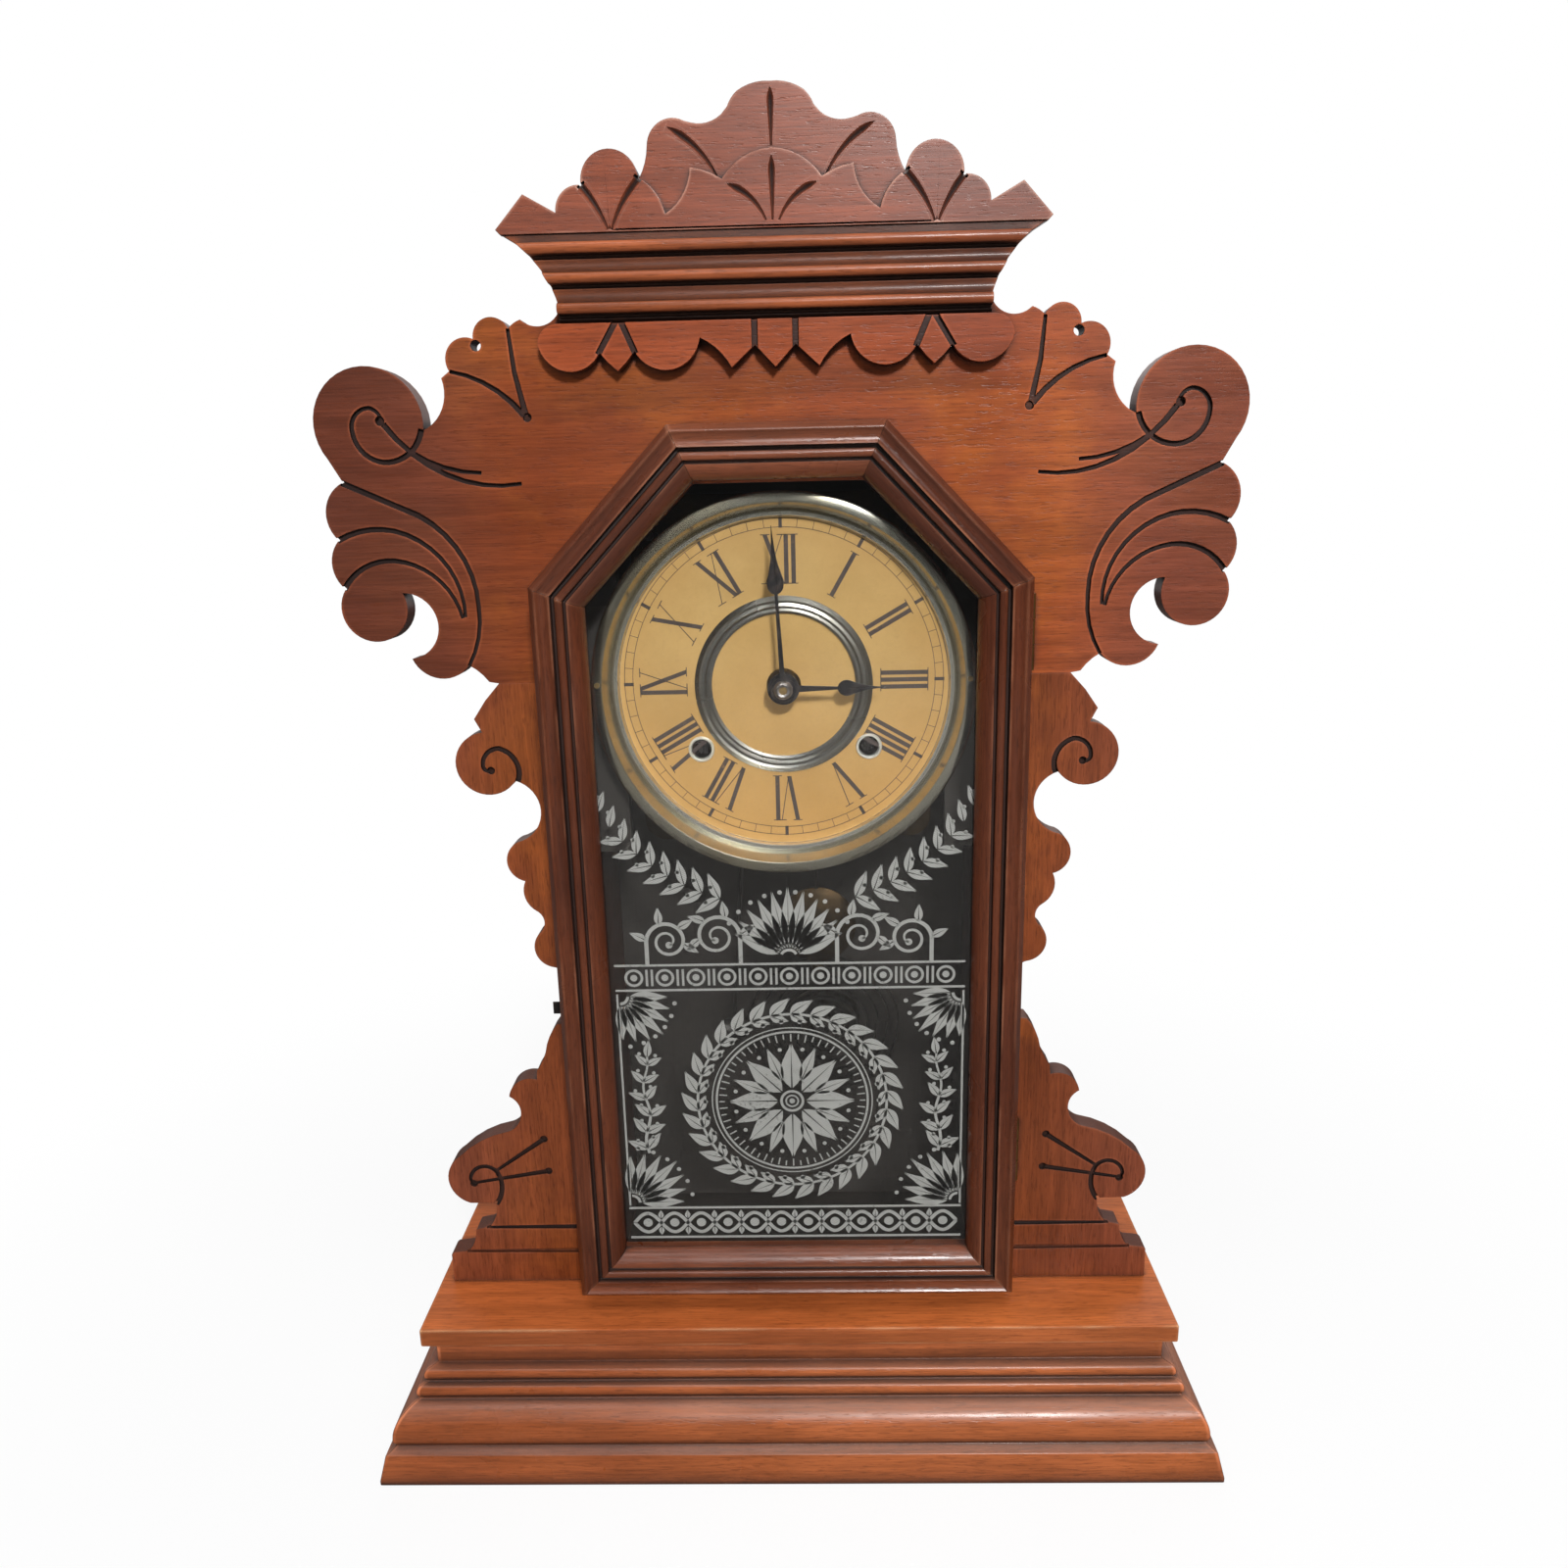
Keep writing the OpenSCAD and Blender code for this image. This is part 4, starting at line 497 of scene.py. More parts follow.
PAINT = {
    "panel": wood("panel_wood", "X", *CASE, fronts=(0,), lean=0.40, patches=PANEL_PATCHES),
    "fret": wood("fret_wood", "Z", *FRET, fronts=(0,), patches=FRET_PATCHES, quiet_below=FRET_FOOT),
    "crown": wood("crown_wood", "X", *CROWN, wear_and_glint=1.0, bare_glint_tone=(0.42, 0.20, 0.14), **CARVED),
    "gouge": wood("gouged_wood", "X", *CROWN, wear_and_glint=0.0, rounded=0.0, **CARVED),
    "apron": wood("apron_wood", "X", *APRON, fronts=(-6,), cut=0.97),
    "cornice": wood("cornice_wood", "X", *CORNICE, rough=0.32, shine=0.28, reach=0.008, grime_shade_span=DEEP_GRIME_SHADE),
    "base_x": wood("base_wood_level", "X", *BASE, **MOULDED),
    "base_y": wood("base_wood_deep", "Y", *BASE, **MOULDED),
    "shelf": wood("shelf_wood", "X", *SHELF_LIT, wear_and_glint=1.0, shade_inside=True, bare_glint_tone=(0.74, 0.46, 0.25), faced=BASE),
    "box": wood("case_box_wood", "Z", *FRET, shade_inside=True),
    "door_x": wood("door_wood_level", "X", *RAIL_LIT, shine=0.45, **FRAMED),
    "door_slant": wood("door_wood_slanting", "X", *DOOR, tilt=SLANT, shine=0.45, **FRAMED),
    "door_z": wood("door_wood_upright", "Z", *DOOR, shine=0.3, **FRAMED),
    "inner": inner_wood(),
    "tin": plated(
        "tinned_metal", (0.78, 0.78, 0.75), (0.62, 0.60, 0.53), 0.21, ((0.54, 0.525, 0.45), (0.40, 0.35, 0.235)),
    ),
    "bright_tin": plated("bright_tin", (0.38, 0.375, 0.355), (0.28, 0.265, 0.23), 0.26),
    "grommet": plated("grommet_tin", (0.80, 0.79, 0.74), (0.62, 0.60, 0.52), 0.45),
    "brass": metal("aged_brass", (0.30, 0.20, 0.075), (0.11, 0.06, 0.025), 0.36, 70, 0.7),
    # Tarnish and painted shade: the movement's brass made near black, as it stands in the dark case
    "tarnish_shade_brass": metal("dark_brass", (0.036, 0.023, 0.011), (0.014, 0.009, 0.005), 0.5, 70, 0.7),
    "steel": metal("steel", (0.36, 0.36, 0.37), (0.12, 0.09, 0.07), 0.32, 80, 0.6),
    "dark_steel": metal("dark_steel", (0.075, 0.073, 0.075), (0.035, 0.03, 0.027), 0.24, 80, 0.6),
    # Painted shade: the movement's steel made near black, as it stands in the dark case
    "shaded_steel": metal("shaded_steel", (0.05, 0.048, 0.046), (0.025, 0.018, 0.013), 0.5, 80, 0.7),
    "iron": metal("cast_iron", (0.05, 0.047, 0.044), (0.025, 0.018, 0.013), 0.6, 220, 0.8),
    "black": black_steel(),
    "paper": aged_paper(),
    "glass": window_glass(),
    "ink": print_ink("dial_ink", (0.040, 0.026, 0.021), (0.15, 0.085, 0.036), 0.58),
    "silver": print_ink("silver_print", (0.32, 0.32, 0.305), (0.09, 0.09, 0.085), 0.56, 7000),
}

# Each paint's nodes; any other node is brass
PAINTED = {
    "panel": ("upper_panel",),
    "fret": ("side_frets",),
    "crown": ("crown_pediment",),
    "apron": ("scalloped_apron",),
    "cornice": ("crown_cornice",),
    "base_x": ("base_front_moulding",),
    "base_y": ("base_side_mouldings",),
    "shelf": ("base_shelf",),
    "box": ("case_sides", "case_top"),
    "door_x": ("door_rails",),
    "door_slant": ("door_diagonals",),
    "door_z": ("door_stiles",),
    "inner": ("back_board", "dial_strips", "movement_battens"),
    "tin": ("dial_pan",),
    "grommet": ("winding_grommets",),
    "bright_tin": ("dial_centre_ring",),
    "paper": ("dial_paper",),
    "glass": ("door_glass",),
    "black": ("minute_hand", "hour_hand", "door_hook"),
    "iron": ("gong_base",),
    "tarnish_shade_brass": ("pendulum_bob", "rating_nut", "front_plate", "back_plate", "pillar_nuts"),
    "shaded_steel": ("gong_coil", "strike_hammer", "pendulum_rod", "plate_pillars"),
    "dark_steel": ("time_winding_arbor", "strike_winding_arbor"),
    "steel": (
        "hand_nut", "movement_screws", "mainsprings", "hook_screw", "time_click", "verge", "strike_click",
        "door_catch_pin",
    ),
}
paint_of = {node: paint for paint, nodes in PAINTED.items() for node in nodes}
for node, obj in NODES.items():
    obj.data.materials.clear()
    obj.data.materials.append(PAINT[paint_of.get(node, "brass")])


# Softened edges and smooth shading on the CAD nodes, by modifiers alone

SHARP_ANGLE = math.radians(31)


def smoothing():
    """Geometry nodes that shade smooth except at edges sharper than an angle."""
    g = bpy.data.node_groups.new("smooth_by_angle", "GeometryNodeTree")
    g.interface.new_socket("Geometry", in_out="INPUT", socket_type="NodeSocketGeometry")
    g.interface.new_socket("Geometry", in_out="OUTPUT", socket_type="NodeSocketGeometry")
    start, end = g.nodes.new("NodeGroupInput"), g.nodes.new("NodeGroupOutput")
    faces, edges = (g.nodes.new("GeometryNodeSetShadeSmooth") for _ in range(2))
    faces.domain, edges.domain = "FACE", "EDGE"
    angle = g.nodes.new("GeometryNodeInputMeshEdgeAngle")
    sharp = g.nodes.new("FunctionNodeCompare")
    sharp.data_type, sharp.operation = "FLOAT", "GREATER_THAN"
    sharp.inputs[1].default_value = SHARP_ANGLE
    link = g.links.new
    link(start.outputs[0], faces.inputs["Geometry"])
    link(faces.outputs[0], edges.inputs["Geometry"])
    link(angle.outputs["Unsigned Angle"], sharp.inputs[0])
    link(sharp.outputs[0], edges.inputs["Selection"])
    edges.inputs["Shade Smooth"].default_value = False
    link(edges.outputs[0], end.inputs[0])
    return g


SMOOTH = smoothing()
WELD = 2e-6
FLAT_ANGLE = math.radians(0.4)
BEVEL_ANGLE = math.radians(32)

# Widths of softened edges, in millimetres, and the nodes whose widths give way in narrow places
BEVELS = {
    "base_front_moulding": 0.35, "base_side_mouldings": 0.35, "base_shelf": 0.9, "case_sides": 0.8, "case_top": 0.8,
    "back_board": 0.6, "upper_panel": 0.45, "side_frets": 0.45, "crown_cornice": 0.22, "crown_pediment": 0.42,
    "scalloped_apron": 0.45, "door_stiles": 0.2, "door_rails": 0.2, "door_diagonals": 0.2, "door_glass": 0.3,
    "minute_hand": 0.15, "hour_hand": 0.15, "door_hook": 0.2, "hinge_case_leaves": 0.2, "hinge_door_leaves": 0.2,
}
CLAMPED = "upper_panel", "side_frets", "crown_pediment", "scalloped_apron"


def soften(obj, width):
    """Welds and smooths a node, and bevels its edges if a width is given."""
    weld = obj.modifiers.new("weld", "WELD")
    weld.merge_threshold = WELD
    if width:
        flat = obj.modifiers.new("flat", "DECIMATE")
        flat.decimate_type = "DISSOLVE"
        flat.angle_limit = FLAT_ANGLE
        bevel = obj.modifiers.new("bevel", "BEVEL")
        bevel.width = width * MM
        bevel.segments = 2
        bevel.limit_method = "ANGLE"
        bevel.angle_limit = BEVEL_ANGLE
        bevel.use_clamp_overlap = obj.name in CLAMPED
    shade = obj.modifiers.new("shade", "NODES")
    shade.node_group = SMOOTH
    if width:
        weight = obj.modifiers.new("weight", "WEIGHTED_NORMAL")
        weight.keep_sharp = True
        weight.weight = 60


for node, obj in NODES.items():
    soften(obj, BEVELS.get(node, 0))


# New pieces

def piece(name, bm, paint, body):
    """Makes a piece from a finished bmesh."""
    bmesh.ops.recalc_face_normals(bm, faces=bm.faces)
    mesh = bpy.data.meshes.new(name)
    bm.to_mesh(mesh)
    bm.free()
    mesh.materials.append(PAINT[paint])
    obj = bpy.data.objects.new(name, mesh)
    bpy.context.scene.collection.objects.link(obj)
    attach(obj, body)


# Carving: tapered V cuts that line the pediment's carved lines

# A cut's half width, how soon it is full, how much it loses by its end, and its depth over its half width
CUT_HALF, CUT_SWELL, CUT_TAPER, CUT_DEPTH = 1.28, 0.25, 0.7, 1.05
CUT_LEAST = 0.02

# How far its lips stand before the board, its thickness, and the carved line's half width, loss and lap
CUT_PROUD, CUT_SKIN = 0.06, 0.1
LINE_HALF, LINE_NARROWS, LINE_LAP = 1.61, 1.03, 0.55


def bowed(a, b, rise=0.0, steps=18):
    """Points from a to b on an arc that stands off the chord's middle by rise, to the left of the way."""
    dx, dz = b[0] - a[0], b[1] - a[1]
    size = math.hypot(dx, dz)
    points = []
    for i in range(steps + 1):
        u = i / steps
        off = 4 * rise * u * (1 - u)
        points.append((a[0] + dx * u - dz / size * off, a[1] + dz * u + dx / size * off))
    return points


def section(u, from_edge):
    """A cut's section at a share u of its length, as (across, depth): a V between two lips over the line's edges."""
    swell = 1.0 if from_edge else math.sin(math.pi / 2 * min(1.0, u / CUT_SWELL))
    taper = 1 - CUT_TAPER * max(0.0, (u - CUT_SWELL) / (1 - CUT_SWELL))
    half = max(CUT_LEAST, CUT_HALF * swell * taper)
    rim = LINE_HALF - LINE_NARROWS * u + LINE_LAP
    deep = CUT_DEPTH * half
    right = (half * 0.4, deep * 0.7), (half, -CUT_PROUD), (rim, -CUT_PROUD)
    return [(-a, d) for a, d in reversed(right)] + [(0, deep)] + list(right)


def gouges(name, cuts, front):
    """A cut is its points and whether it starts at the board's edge; front is the face that it is cut in."""
    bm = bmesh.new()
    for points, from_edge in cuts:
        n = len(points) - 1
        rows = []
        for i, (x, z) in enumerate(points):
            ahead, behind = points[min(i + 1, n)], points[max(i - 1, 0)]
            dx, dz = ahead[0] - behind[0], ahead[1] - behind[1]
            size = math.hypot(dx, dz)
            sheets = []
            for back in (0, CUT_SKIN):
                sheets.append([
                    bm.verts.new((
                        (x - dz / size * a) * MM, (PANEL_Y + front + d + back) * MM, (HEAD_Z + z + dx / size * a) * MM,
                    ))
                    for a, d in section(i / n, from_edge)
                ])
            rows.append(sheets[0] + sheets[1][::-1])
        around = len(rows[0])
        for a, b in zip(rows, rows[1:]):
            for k in range(around):
                j = (k + 1) % around
                bm.faces.new((a[k], a[j], b[j], b[k]))
        for row in (rows[0], rows[-1]):
            for k in range(around // 2 - 1):
                bm.faces.new((row[k], row[k + 1], row[around - 2 - k], row[around - 1 - k]))
    piece(name, bm, "gouge", "case")


def crown_carving():
    """The cuts of the dome and of the layer before it, in millimetres above the crown's foot."""
    def sides(line, from_edge=False):
        return [(line, from_edge), ([(-x, z) for x, z in line], from_edge)]

    dome = [(bowed((0, 114.6), (0, 95.3)), False)] + sides(bowed((37.4, 102.4), (19.5, 85.3), -2.2))
    layer = [(bowed((0, 92.2), (0, 70.6)), False)] + sides(bowed((16.6, 82.9), (2.4, 70.6), -2.2))
    layer += sides(bowed((48.4, 85.0), (58.4, 69), 1.0), True) + sides(bowed((68.5, 83.4), (59.8, 69), -0.7), True)
    gouges("crown_dome_gouges", dome, 0)
    gouges("crown_layer_gouges", layer, -2)


crown_carving()


# Thin printed shapes, as outlines of (x, z) in millimetres

def slips(name, shapes, y, thick, paint, body):
    """Makes each outline a closed slip that stands forward from the plane at y by thick."""
    bm = bmesh.new()
    for shape in shapes:
        back = [bm.verts.new((x * MM, y * MM, z * MM)) for x, z in shape]
        front = [bm.verts.new((x * MM, (y - thick) * MM, z * MM)) for x, z in shape]
        n = len(shape)
        bm.faces.new(front)
        bm.faces.new(list(reversed(back)))
        for i in range(n):
            j = (i + 1) % n
            bm.faces.new((front[j], front[i], back[i], back[j]))
    piece(name, bm, paint, body)


def polar(r, degrees, centre=(0, 0)):
    a = math.radians(degrees)
    return centre[0] + r * math.sin(a), centre[1] + r * math.cos(a)


def ring(centre, r, width, start=0, sweep=360, steps=96):
    """A ring, or part of one, as a chain of slips, clockwise from twelve o'clock."""
    cells = []
    inner, outer = r - width / 2, r + width / 2
    for i in range(steps):
        a, b = start + sweep * i / steps, start + sweep * (i + 1) / steps
        cells.append([polar(q, d, centre) for q, d in ((inner, a), (outer, a), (outer, b), (inner, b))])
    return cells


def bar(x0, z0, x1, z1):
    return [(x0, z0), (x1, z0), (x1, z1), (x0, z1)]


def ribbon(points, w0, w1=None):
    """A line with a width that runs from w0 to w1, as one outline."""
    w1 = w0 if w1 is None else w1
    n = len(points) - 1
    left, right = [], []
    for i, (x, z) in enumerate(points):
        ax, az = points[max(0, i - 1)]
        bx, bz = points[min(n, i + 1)]
        length = math.hypot(bx - ax, bz - az)
        half = (w0 + (w1 - w0) * i / n) / 2
        nx, nz = -(bz - az) / length * half, (bx - ax) / length * half
        left.append((x + nx, z + nz))
        right.append((x - nx, z - nz))
    return left + right[::-1]


def disc(centre, r, steps=14):
    return [polar(r, 360 * i / steps, centre) for i in range(steps)]


def leaf(root, degrees, length, width, bend=0.0, rib=0.5, steps=9):
    """A pointed leaf in two halves beside its midrib, in a direction clockwise from up, with a bend at its tip."""
    a = math.radians(degrees)
    ux, uz = math.sin(a), math.cos(a)

    def at(t, across):
        return root[0] + ux * length * t + uz * across, root[1] + uz * length * t - ux * across

    halves = []
    for sign in (1, -1):
        outer, inner = [], []
        for i in range(steps + 1):
            t = i / steps
            half = width / 2 * math.sin(math.pi * t ** 0.8) * (1 - 0.25 * t)
            off = bend * t * t
            outer.append(at(t, off + sign * max(half, rib / 2)))
            inner.append(at(t, off + sign * rib / 2 * (1 - t)))
        halves.append(outer + inner[-2:0:-1])
    return halves


# Dial print: Roman numerals with their feet to the middle, and the minute track

NUMERALS = "XII", "I", "II", "III", "IIII", "V", "VI", "VII", "VIII", "IX", "X", "XI"
NUMERAL_IN, NUMERAL_OUT = 39.6, 58.3
TRACK_IN, TRACK_OUT = 61.4, 64.8
TRACK_LINE, MINUTE_HALF, FIVE_HALF, FIVE_OVER = 0.24, 0.11, 0.68, 0.3
BAR, HAIR, PITCH = 1.75, 0.36, 2.85
LETTER_WIDTH, LETTER_GAP, V_FOOT = 6.6, 0.4, 0.3
SERIF = BAR / 2 + 1.0
PAPER_SET, PRINT_RAISED = 8.4, 1.5
PAPER_FRONT = PANEL_Y + PAPER_SET
PRINT_Z = DIAL_Z + PRINT_RAISED
INK = 0.05


def numeral(letters):
    """Strokes of a numeral, as (across, outward) outlines about its middle."""
    broad = LETTER_WIDTH + LETTER_GAP
    widths = {"I": PITCH, "V": broad, "X": broad}
    at = -sum(widths[c] for c in letters) / 2
    low, high = NUMERAL_IN, NUMERAL_OUT
    strokes, feet = [], []
    for c in letters:
        mid = at + widths[c] / 2
        left, right = mid - LETTER_WIDTH / 2, mid + LETTER_WIDTH / 2
        if c == "I":
            lines = [((mid, low), (mid, high), BAR)]
            ends = [(mid, low), (mid, high)]
        elif c == "V":
            lines = [((left, high), (mid, low), BAR), ((right, high), (mid + V_FOOT, low), HAIR)]
            ends = [(left, high), (right, high)]
        else:
            lines = [((left, high), (right, low), BAR), ((right, high), (left, low), HAIR)]
            ends = [(x, r) for x in (left, right) for r in (low, high)]
        for a, b, w in lines:
            strokes.append([(a[0] - w / 2, a[1]), (a[0] + w / 2, a[1]), (b[0] + w / 2, b[1]), (b[0] - w / 2, b[1])])
        for x, r in ends:
            feet.append(bar(x - SERIF, r, x + SERIF, r + (HAIR if r == high else -HAIR)))
        at += widths[c]
    return strokes + feet


def about_dial(points, degrees):
    """Lays (across, outward) points on the dial, turned clockwise from twelve o'clock."""
    a = math.radians(degrees)
    return [(u * math.cos(a) + r * math.sin(a), PRINT_Z + r * math.cos(a) - u * math.sin(a)) for u, r in points]


def dial_print():
    """The numerals, the track's two lines, and the minutes between them."""
    shapes = []
    for hour, letters in enumerate(NUMERALS):
        shapes += [about_dial(s, hour * 30) for s in numeral(letters)]
    for r in (TRACK_IN, TRACK_OUT):
        shapes += ring((0, PRINT_Z), r, TRACK_LINE, steps=120)
    for minute in range(60):
        half, over = (MINUTE_HALF, 0) if minute % 5 else (FIVE_HALF, FIVE_OVER)
        shapes.append(about_dial(bar(-half, TRACK_IN - over, half, TRACK_OUT + over), minute * 6))
    slips("dial_print", shapes, PAPER_FRONT, INK, "ink", "case")


dial_print()


# Silver print inside the door's glass: a medallion, fans, leafy columns, two bands, a palmette, volutes and sprays

DOOR_FRONT, GLASS_SET, GLASS_THICK = 22.5, 9.8, 2.0
GLASS_BACK = PANEL_Y - DOOR_FRONT + GLASS_SET + GLASS_THICK
SILVER, SILVER_CLEAR, SIDE_CLEAR = 0.045, 0.005, 0.4
MEDALLION = 0, 161.5
WREATH_R = 40.5
BAND_HALF, WAVE_HALF = 73, 71
WAVE_Z, WAVES, WAVE_RISE = 102.3, 12, 4.7
BEAD_Z, BEADS, BEAD_PITCH = 219.3, 11, 13


def both(shapes):
    """Shapes and their mirror images."""
    return shapes + [[(-x, z) for x, z in reversed(s)] for s in shapes]


def medallion():
    """A rosette in a ring of ticks, inside a wreath."""
    def at(r, degrees):
        return polar(r, degrees, MEDALLION)

    shapes = ring(MEDALLION, WREATH_R, 1.1) + ring(MEDALLION, 32.4, 0.9) + ring(MEDALLION, 34.3, 0.5)
    for a in range(0, 360, 12):
        root = at(WREATH_R, a)
        shapes.extend(leaf(root, a + 50, 11.4, 5.6, 1.4))
        shapes.extend(leaf(root, a + 126, 8.0, 4.4, -1.0))
        shapes.append(disc(at(37.2, a + 6), 1.0))
    for i in range(60):
        shapes.append(ribbon([at(28.0 + i % 2, 6 * i), at(31.4, 6 * i)], 0.55))
    for a in range(0, 360, 45):
        shapes.extend(leaf(at(6.2, a), a, 20.6, 10.4, rib=0.7))
        shapes.extend(leaf(at(10.4, a + 22.5), a + 22.5, 16.4, 5.6))
        shapes.append(disc(at(24.6, a + 11.25), 0.9))
        shapes.append(disc(at(24.6, a - 11.25), 0.9))
    shapes += ring(MEDALLION, 4.6, 1.1, steps=40) + ring(MEDALLION, 2.6, 0.7, steps=30)
    shapes.append(disc(MEDALLION, 1.2))
    return shapes


def scroll(start, r, sweep, hand, steps=40):
    """Points of a volute that rises from its start and winds in, to the right if hand is 1."""
    points, (x, z), a = [start], start, 0
    step = sweep / steps
    for i in range(steps):
        length = r * (1 - 0.82 * i / steps) * math.radians(step)
        a += hand * step
        x, z = x + length * math.sin(math.radians(a)), z + length * math.cos(math.radians(a))
        points.append((x, z))
    return points


def fan(root, facing, length, spread, petals, width):
    """Petals about a root, with a dot between each two, and an arc at their feet."""
    foot = 4.4
    shapes = []
    for i in range(petals):
        d = spread * (2 * i / (petals - 1) - 1)
        reach = (length - foot) * (1 - 0.24 * abs(d) / spread)
        shapes.extend(leaf(polar(foot, facing + d, root), facing + d, reach, width))
        if i < petals - 1:
            shapes.append(disc(polar(length * 0.93, facing + d + spread / (petals - 1), root), 0.95))
    return shapes + ring(root, 3.4, 1.2, facing - spread, 2 * spread, 18)


def branch(points, leaf_length, leaf_width, every=4, spread=46):
    """A stem with leaves in pairs and a berry between them."""
    shapes = [ribbon(points, 1.4, 0.8)]
    for i in range(1, len(points) - 1, every):
        (ax, az), (bx, bz) = points[i - 1], points[i + 1]
        along = math.degrees(math.atan2(bx - ax, bz - az))
        size = 1 - 0.3 * i / len(points)
        for hand in (-1, 1):
            shapes.extend(leaf(points[i], along + hand * spread, leaf_length * size, leaf_width * size, hand * 0.8))
            if i + every // 2 < len(points):
                shapes.append(disc(polar(3.6, along + hand * 72, points[i + every // 2]), 0.8))
    shapes.extend(leaf(points[-1], along, leaf_length * 0.8, leaf_width * 0.8))
    return shapes


def side_pieces():
    """Both sides: sprays by the dial, columns by the medallion, volutes, corner fans and upright lines."""
    spray = [polar(89.0, 163 - 50 * i / 40, (0, DIAL_Z)) for i in range(41)]
    column = [(62.5 + 1.2 * math.sin(i * 0.5), 137 + 2 * i) for i in range(24)]
    shapes = branch(spray, 12.0, 5.0) + branch(column, 9.8, 4.8)
    for start, r, hand in (((20, 238), 9.4, 1), ((59, 236), 8.6, -1)):
        points = scroll(start, r, 620, hand)
        shapes += [ribbon([(start[0], 225.4), start], 1.7), ribbon(points, 1.7, 0.8), disc(points[-1], 1.5)]
        for k in (0, 4, 8, 12):
            shapes.extend(leaf(points[k], hand * 15.5 * k - hand * 58, 7.6, 3.9, 0.6))
    shapes += fan((71.5, 112.5), -45, 29, 44, 7, 6.0) + fan((71.5, 211.0), -135, 25, 44, 7, 5.4)
    shapes.append(bar(72.0, 111, 72.9, 212))
    return both(shapes)


def wave_band():
    """Two crossing waves between lines, with a disc in each eye and leaves at the crossings."""
    shapes = [bar(-BAND_HALF, z, BAND_HALF, z + 1.1) for z in (94.4, 109.2)]
    length, steps = 2 * WAVE_HALF, 180
    for phase in (0, math.pi):
        points = [
            (-WAVE_HALF + length * i / steps, WAVE_Z + WAVE_RISE * math.sin(phase + WAVES * math.pi * i / steps))
            for i in range(steps + 1)
        ]
        shapes += [ribbon(points[i:i + 31], 1.6) for i in range(0, steps, 30)]
    shapes += [disc((-WAVE_HALF + length / WAVES * (i + 0.5), WAVE_Z), 2.1) for i in range(WAVES)]
    for i in range(1, WAVES):
        for s in (-1, 1):
            shapes += leaf((-WAVE_HALF + length / WAVES * i, WAVE_Z + s * 2.2), 90 - s * 90, 4.0, 2.8, rib=0.3)
    return shapes


def bead_band():
    """A row of ringed beads with pairs of strokes between them, between lines."""
    shapes = [bar(-BAND_HALF, z, BAND_HALF, z + 1.0) for z in (213.2, 224.4)]
    for i in range(BEADS):
        x = BEAD_PITCH * (i - BEADS // 2)
        shapes += ring((x, BEAD_Z), 3.4, 1.1, steps=24)
        shapes.append(disc((x, BEAD_Z), 1.5))
        if i < BEADS - 1:
            shapes += [ribbon([(x + d, 215.6), (x + d, 223.0)], 1.0) for d in (5.4, 7.6)]
    return shapes


def glass_print():
    """All the print on the glass, apart from shapes that would reach past its sides."""
    shapes = medallion() + wave_band() + bead_band() + side_pieces() + fan((0, 227.6), 0, 31, 64, 11, 6.6)
    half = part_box("door_glass")[1][0] / MM - SIDE_CLEAR
    shapes = [shape for shape in shapes if max(abs(x) for x, _ in shape) < half]
    slips("glass_print", shapes, GLASS_BACK + SILVER_CLEAR + SILVER, SILVER, "silver", "door")


glass_print()


# Stage: a plain pale floor, soft studio lamps, and a white backdrop side with a dim room behind the camera

FLOOR_SIZE, FLOOR_Z = 8, -0.0004
WHITE = 1, 1, 1, 1
SKY, SKY_STRENGTH = (0.97, 0.98, 1.0, 1), 0.22

# Each lamp's name, place, aim, width and height in metres, and power in watts
LAMPS = (
    ("key", (0.46, -2.12, 1.66), (0, 0, 0.30), (0.32, 0.32), 62.0),
    ("fill", (-0.95, -1.1, 0.75), (0, 0, 0.28), (1.1, 1.1), 0.7),
    ("top", (0.0, -0.42, 1.45), (0, 0, 0.2), (1.3, 0.35), 5.5),
    ("back", (0.3, 1.2, 1.0), (0, 0, 0.25), (1.2, 1.2), 3.0),
)


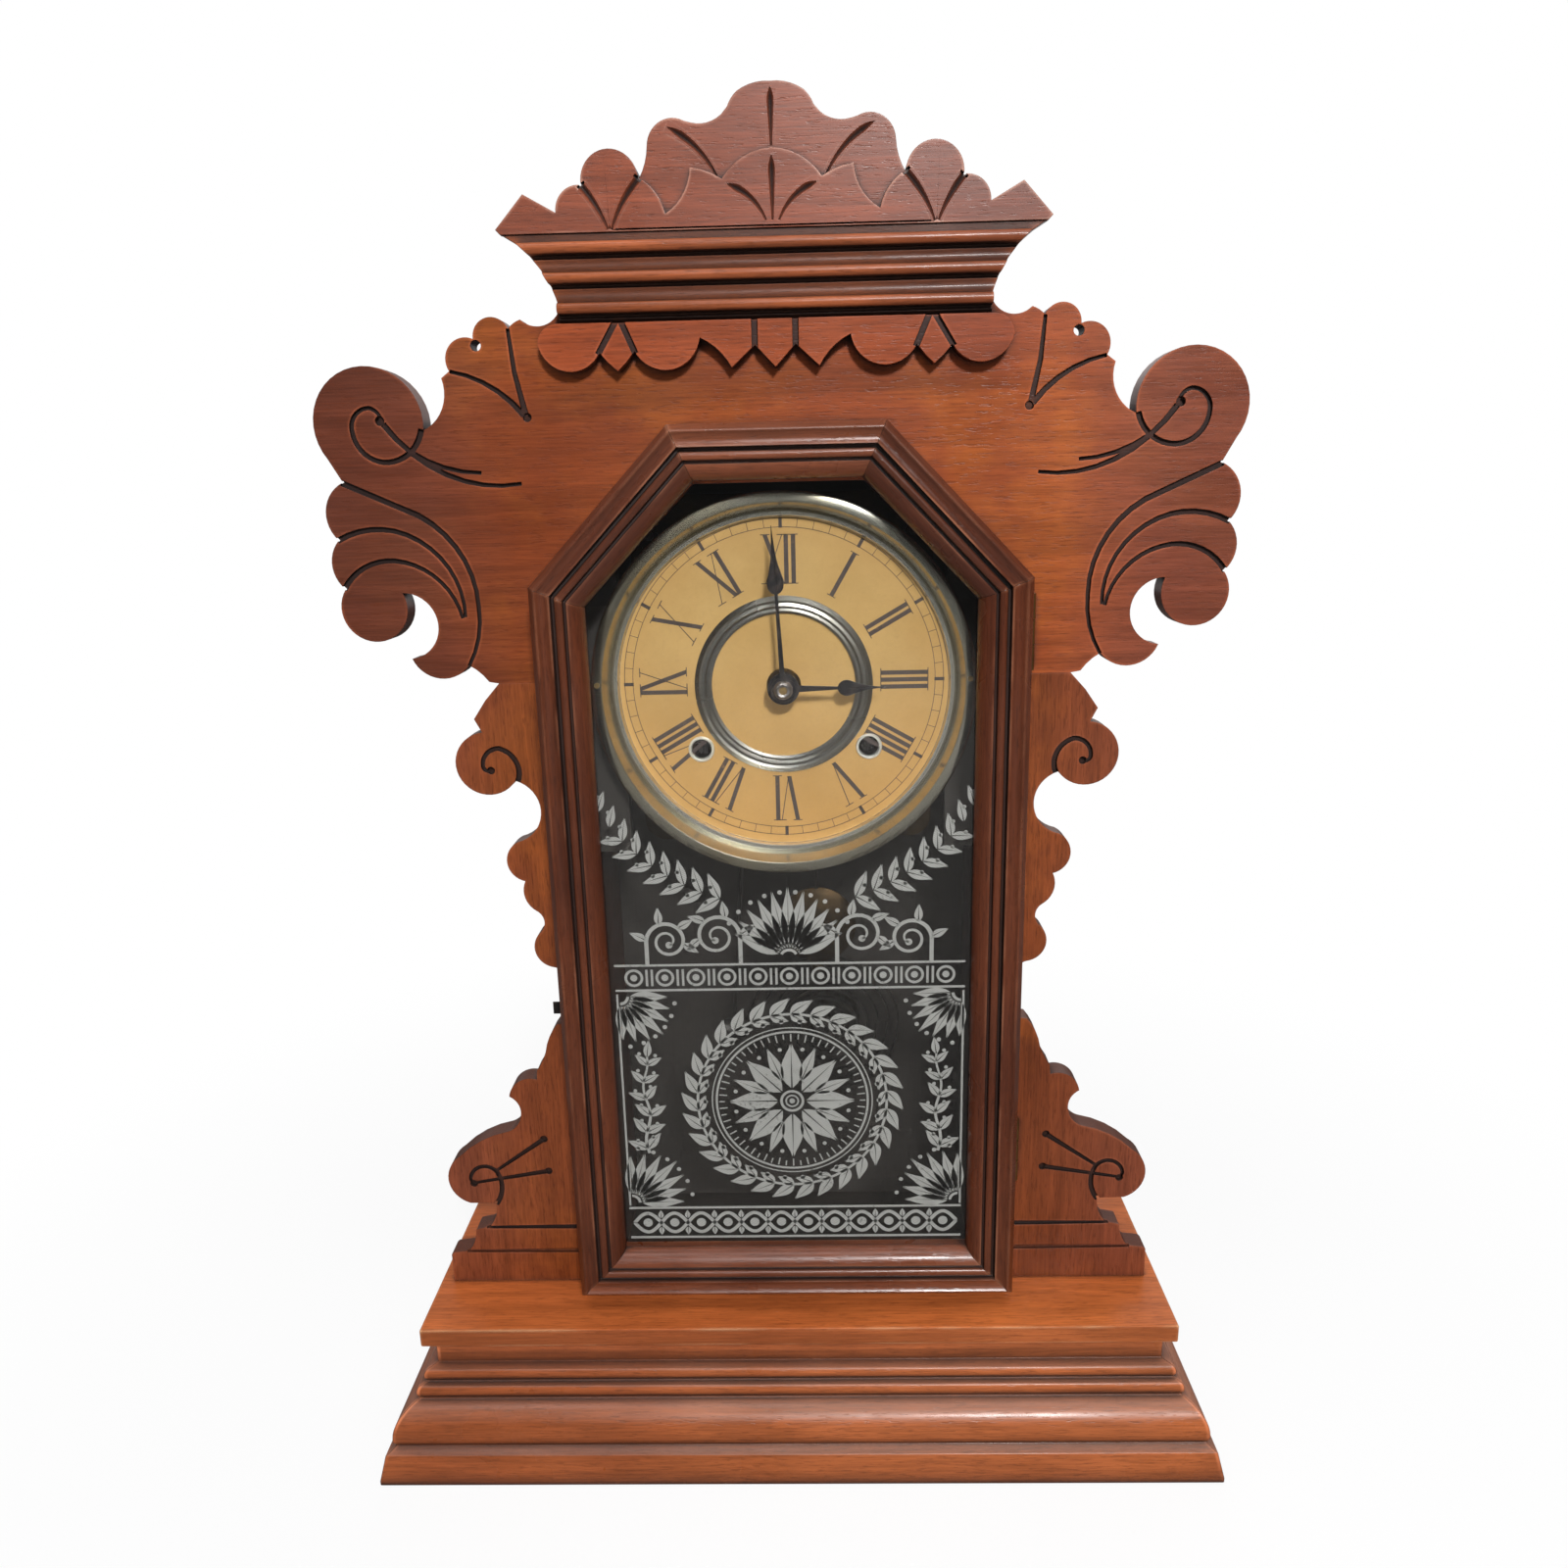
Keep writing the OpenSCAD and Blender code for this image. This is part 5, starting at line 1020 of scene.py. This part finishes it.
def make_floor():
    """A pale floor that keeps the clock's shadow and turns to plain white away from it."""
    bpy.ops.mesh.primitive_plane_add(size=FLOOR_SIZE, location=(0, 0, FLOOR_Z))
    floor = bpy.context.object
    floor.name = "floor"
    t = Tree("floor_white")
    ray = t.add("ShaderNodeLightPath").outputs
    x, y, _ = t.place()
    speck = t.noise(3, detail=2)
    tone = t.mix(t.span(speck, 0.3, 0.7), (0.90, 0.90, 0.90), (0.93, 0.93, 0.93))
    unseen = t.mix(ray["Is Glossy Ray"], (0.50, 0.49, 0.47), (0.22, 0.21, 0.20))
    pale = t.add("ShaderNodeBsdfDiffuse")
    t.put(pale.inputs["Color"], t.mix(ray["Is Camera Ray"], unseen, tone))
    white = t.add("ShaderNodeEmission")
    t.put(white.inputs["Color"], WHITE)
    away = t.span(t.apart(x, y), 0.22, 0.60, 0.82, 1.0)
    t.either(t.times(ray["Is Camera Ray"], away), pale, white)
    floor.data.materials.append(t.owner)


def make_world():
    """Soft sky light; camera, glossy and transmission rays see the backdrop and the dim room instead."""
    t = Tree("studio", world=True)
    ray = t.add("ShaderNodeLightPath").outputs
    sky, backdrop = (t.add("ShaderNodeBackground") for _ in range(2))
    t.put(sky.inputs["Color"], SKY)
    t.put(sky.inputs["Strength"], SKY_STRENGTH)
    t.put(backdrop.inputs["Color"], WHITE)
    room = t.span(t.place("Generated")[1], -0.35, 0.1, 0.05, 0.55, "LINEAR")
    t.put(backdrop.inputs["Strength"], t.math("MAXIMUM", room, ray["Is Camera Ray"]))
    mirrored = t.math("MAXIMUM", ray["Is Glossy Ray"], ray["Is Transmission Ray"])
    t.either(t.math("MAXIMUM", ray["Is Camera Ray"], mirrored), sky, backdrop)
    bpy.context.scene.world = t.owner


def make_lamps():
    """Area lamps turned to their aims."""
    for name, at, aim, size, power in LAMPS:
        data = bpy.data.lights.new(name, "AREA")
        data.shape = "RECTANGLE"
        data.size, data.size_y = size
        data.energy = power
        lamp = bpy.data.objects.new(name, data)
        lamp.location = at
        lamp.rotation_euler = (Vector(aim) - Vector(at)).to_track_quat("-Z", "Y").to_euler()
        bpy.context.scene.collection.objects.link(lamp)


make_floor()
make_world()
make_lamps()

bpy.context.scene.view_settings.view_transform = "Standard"
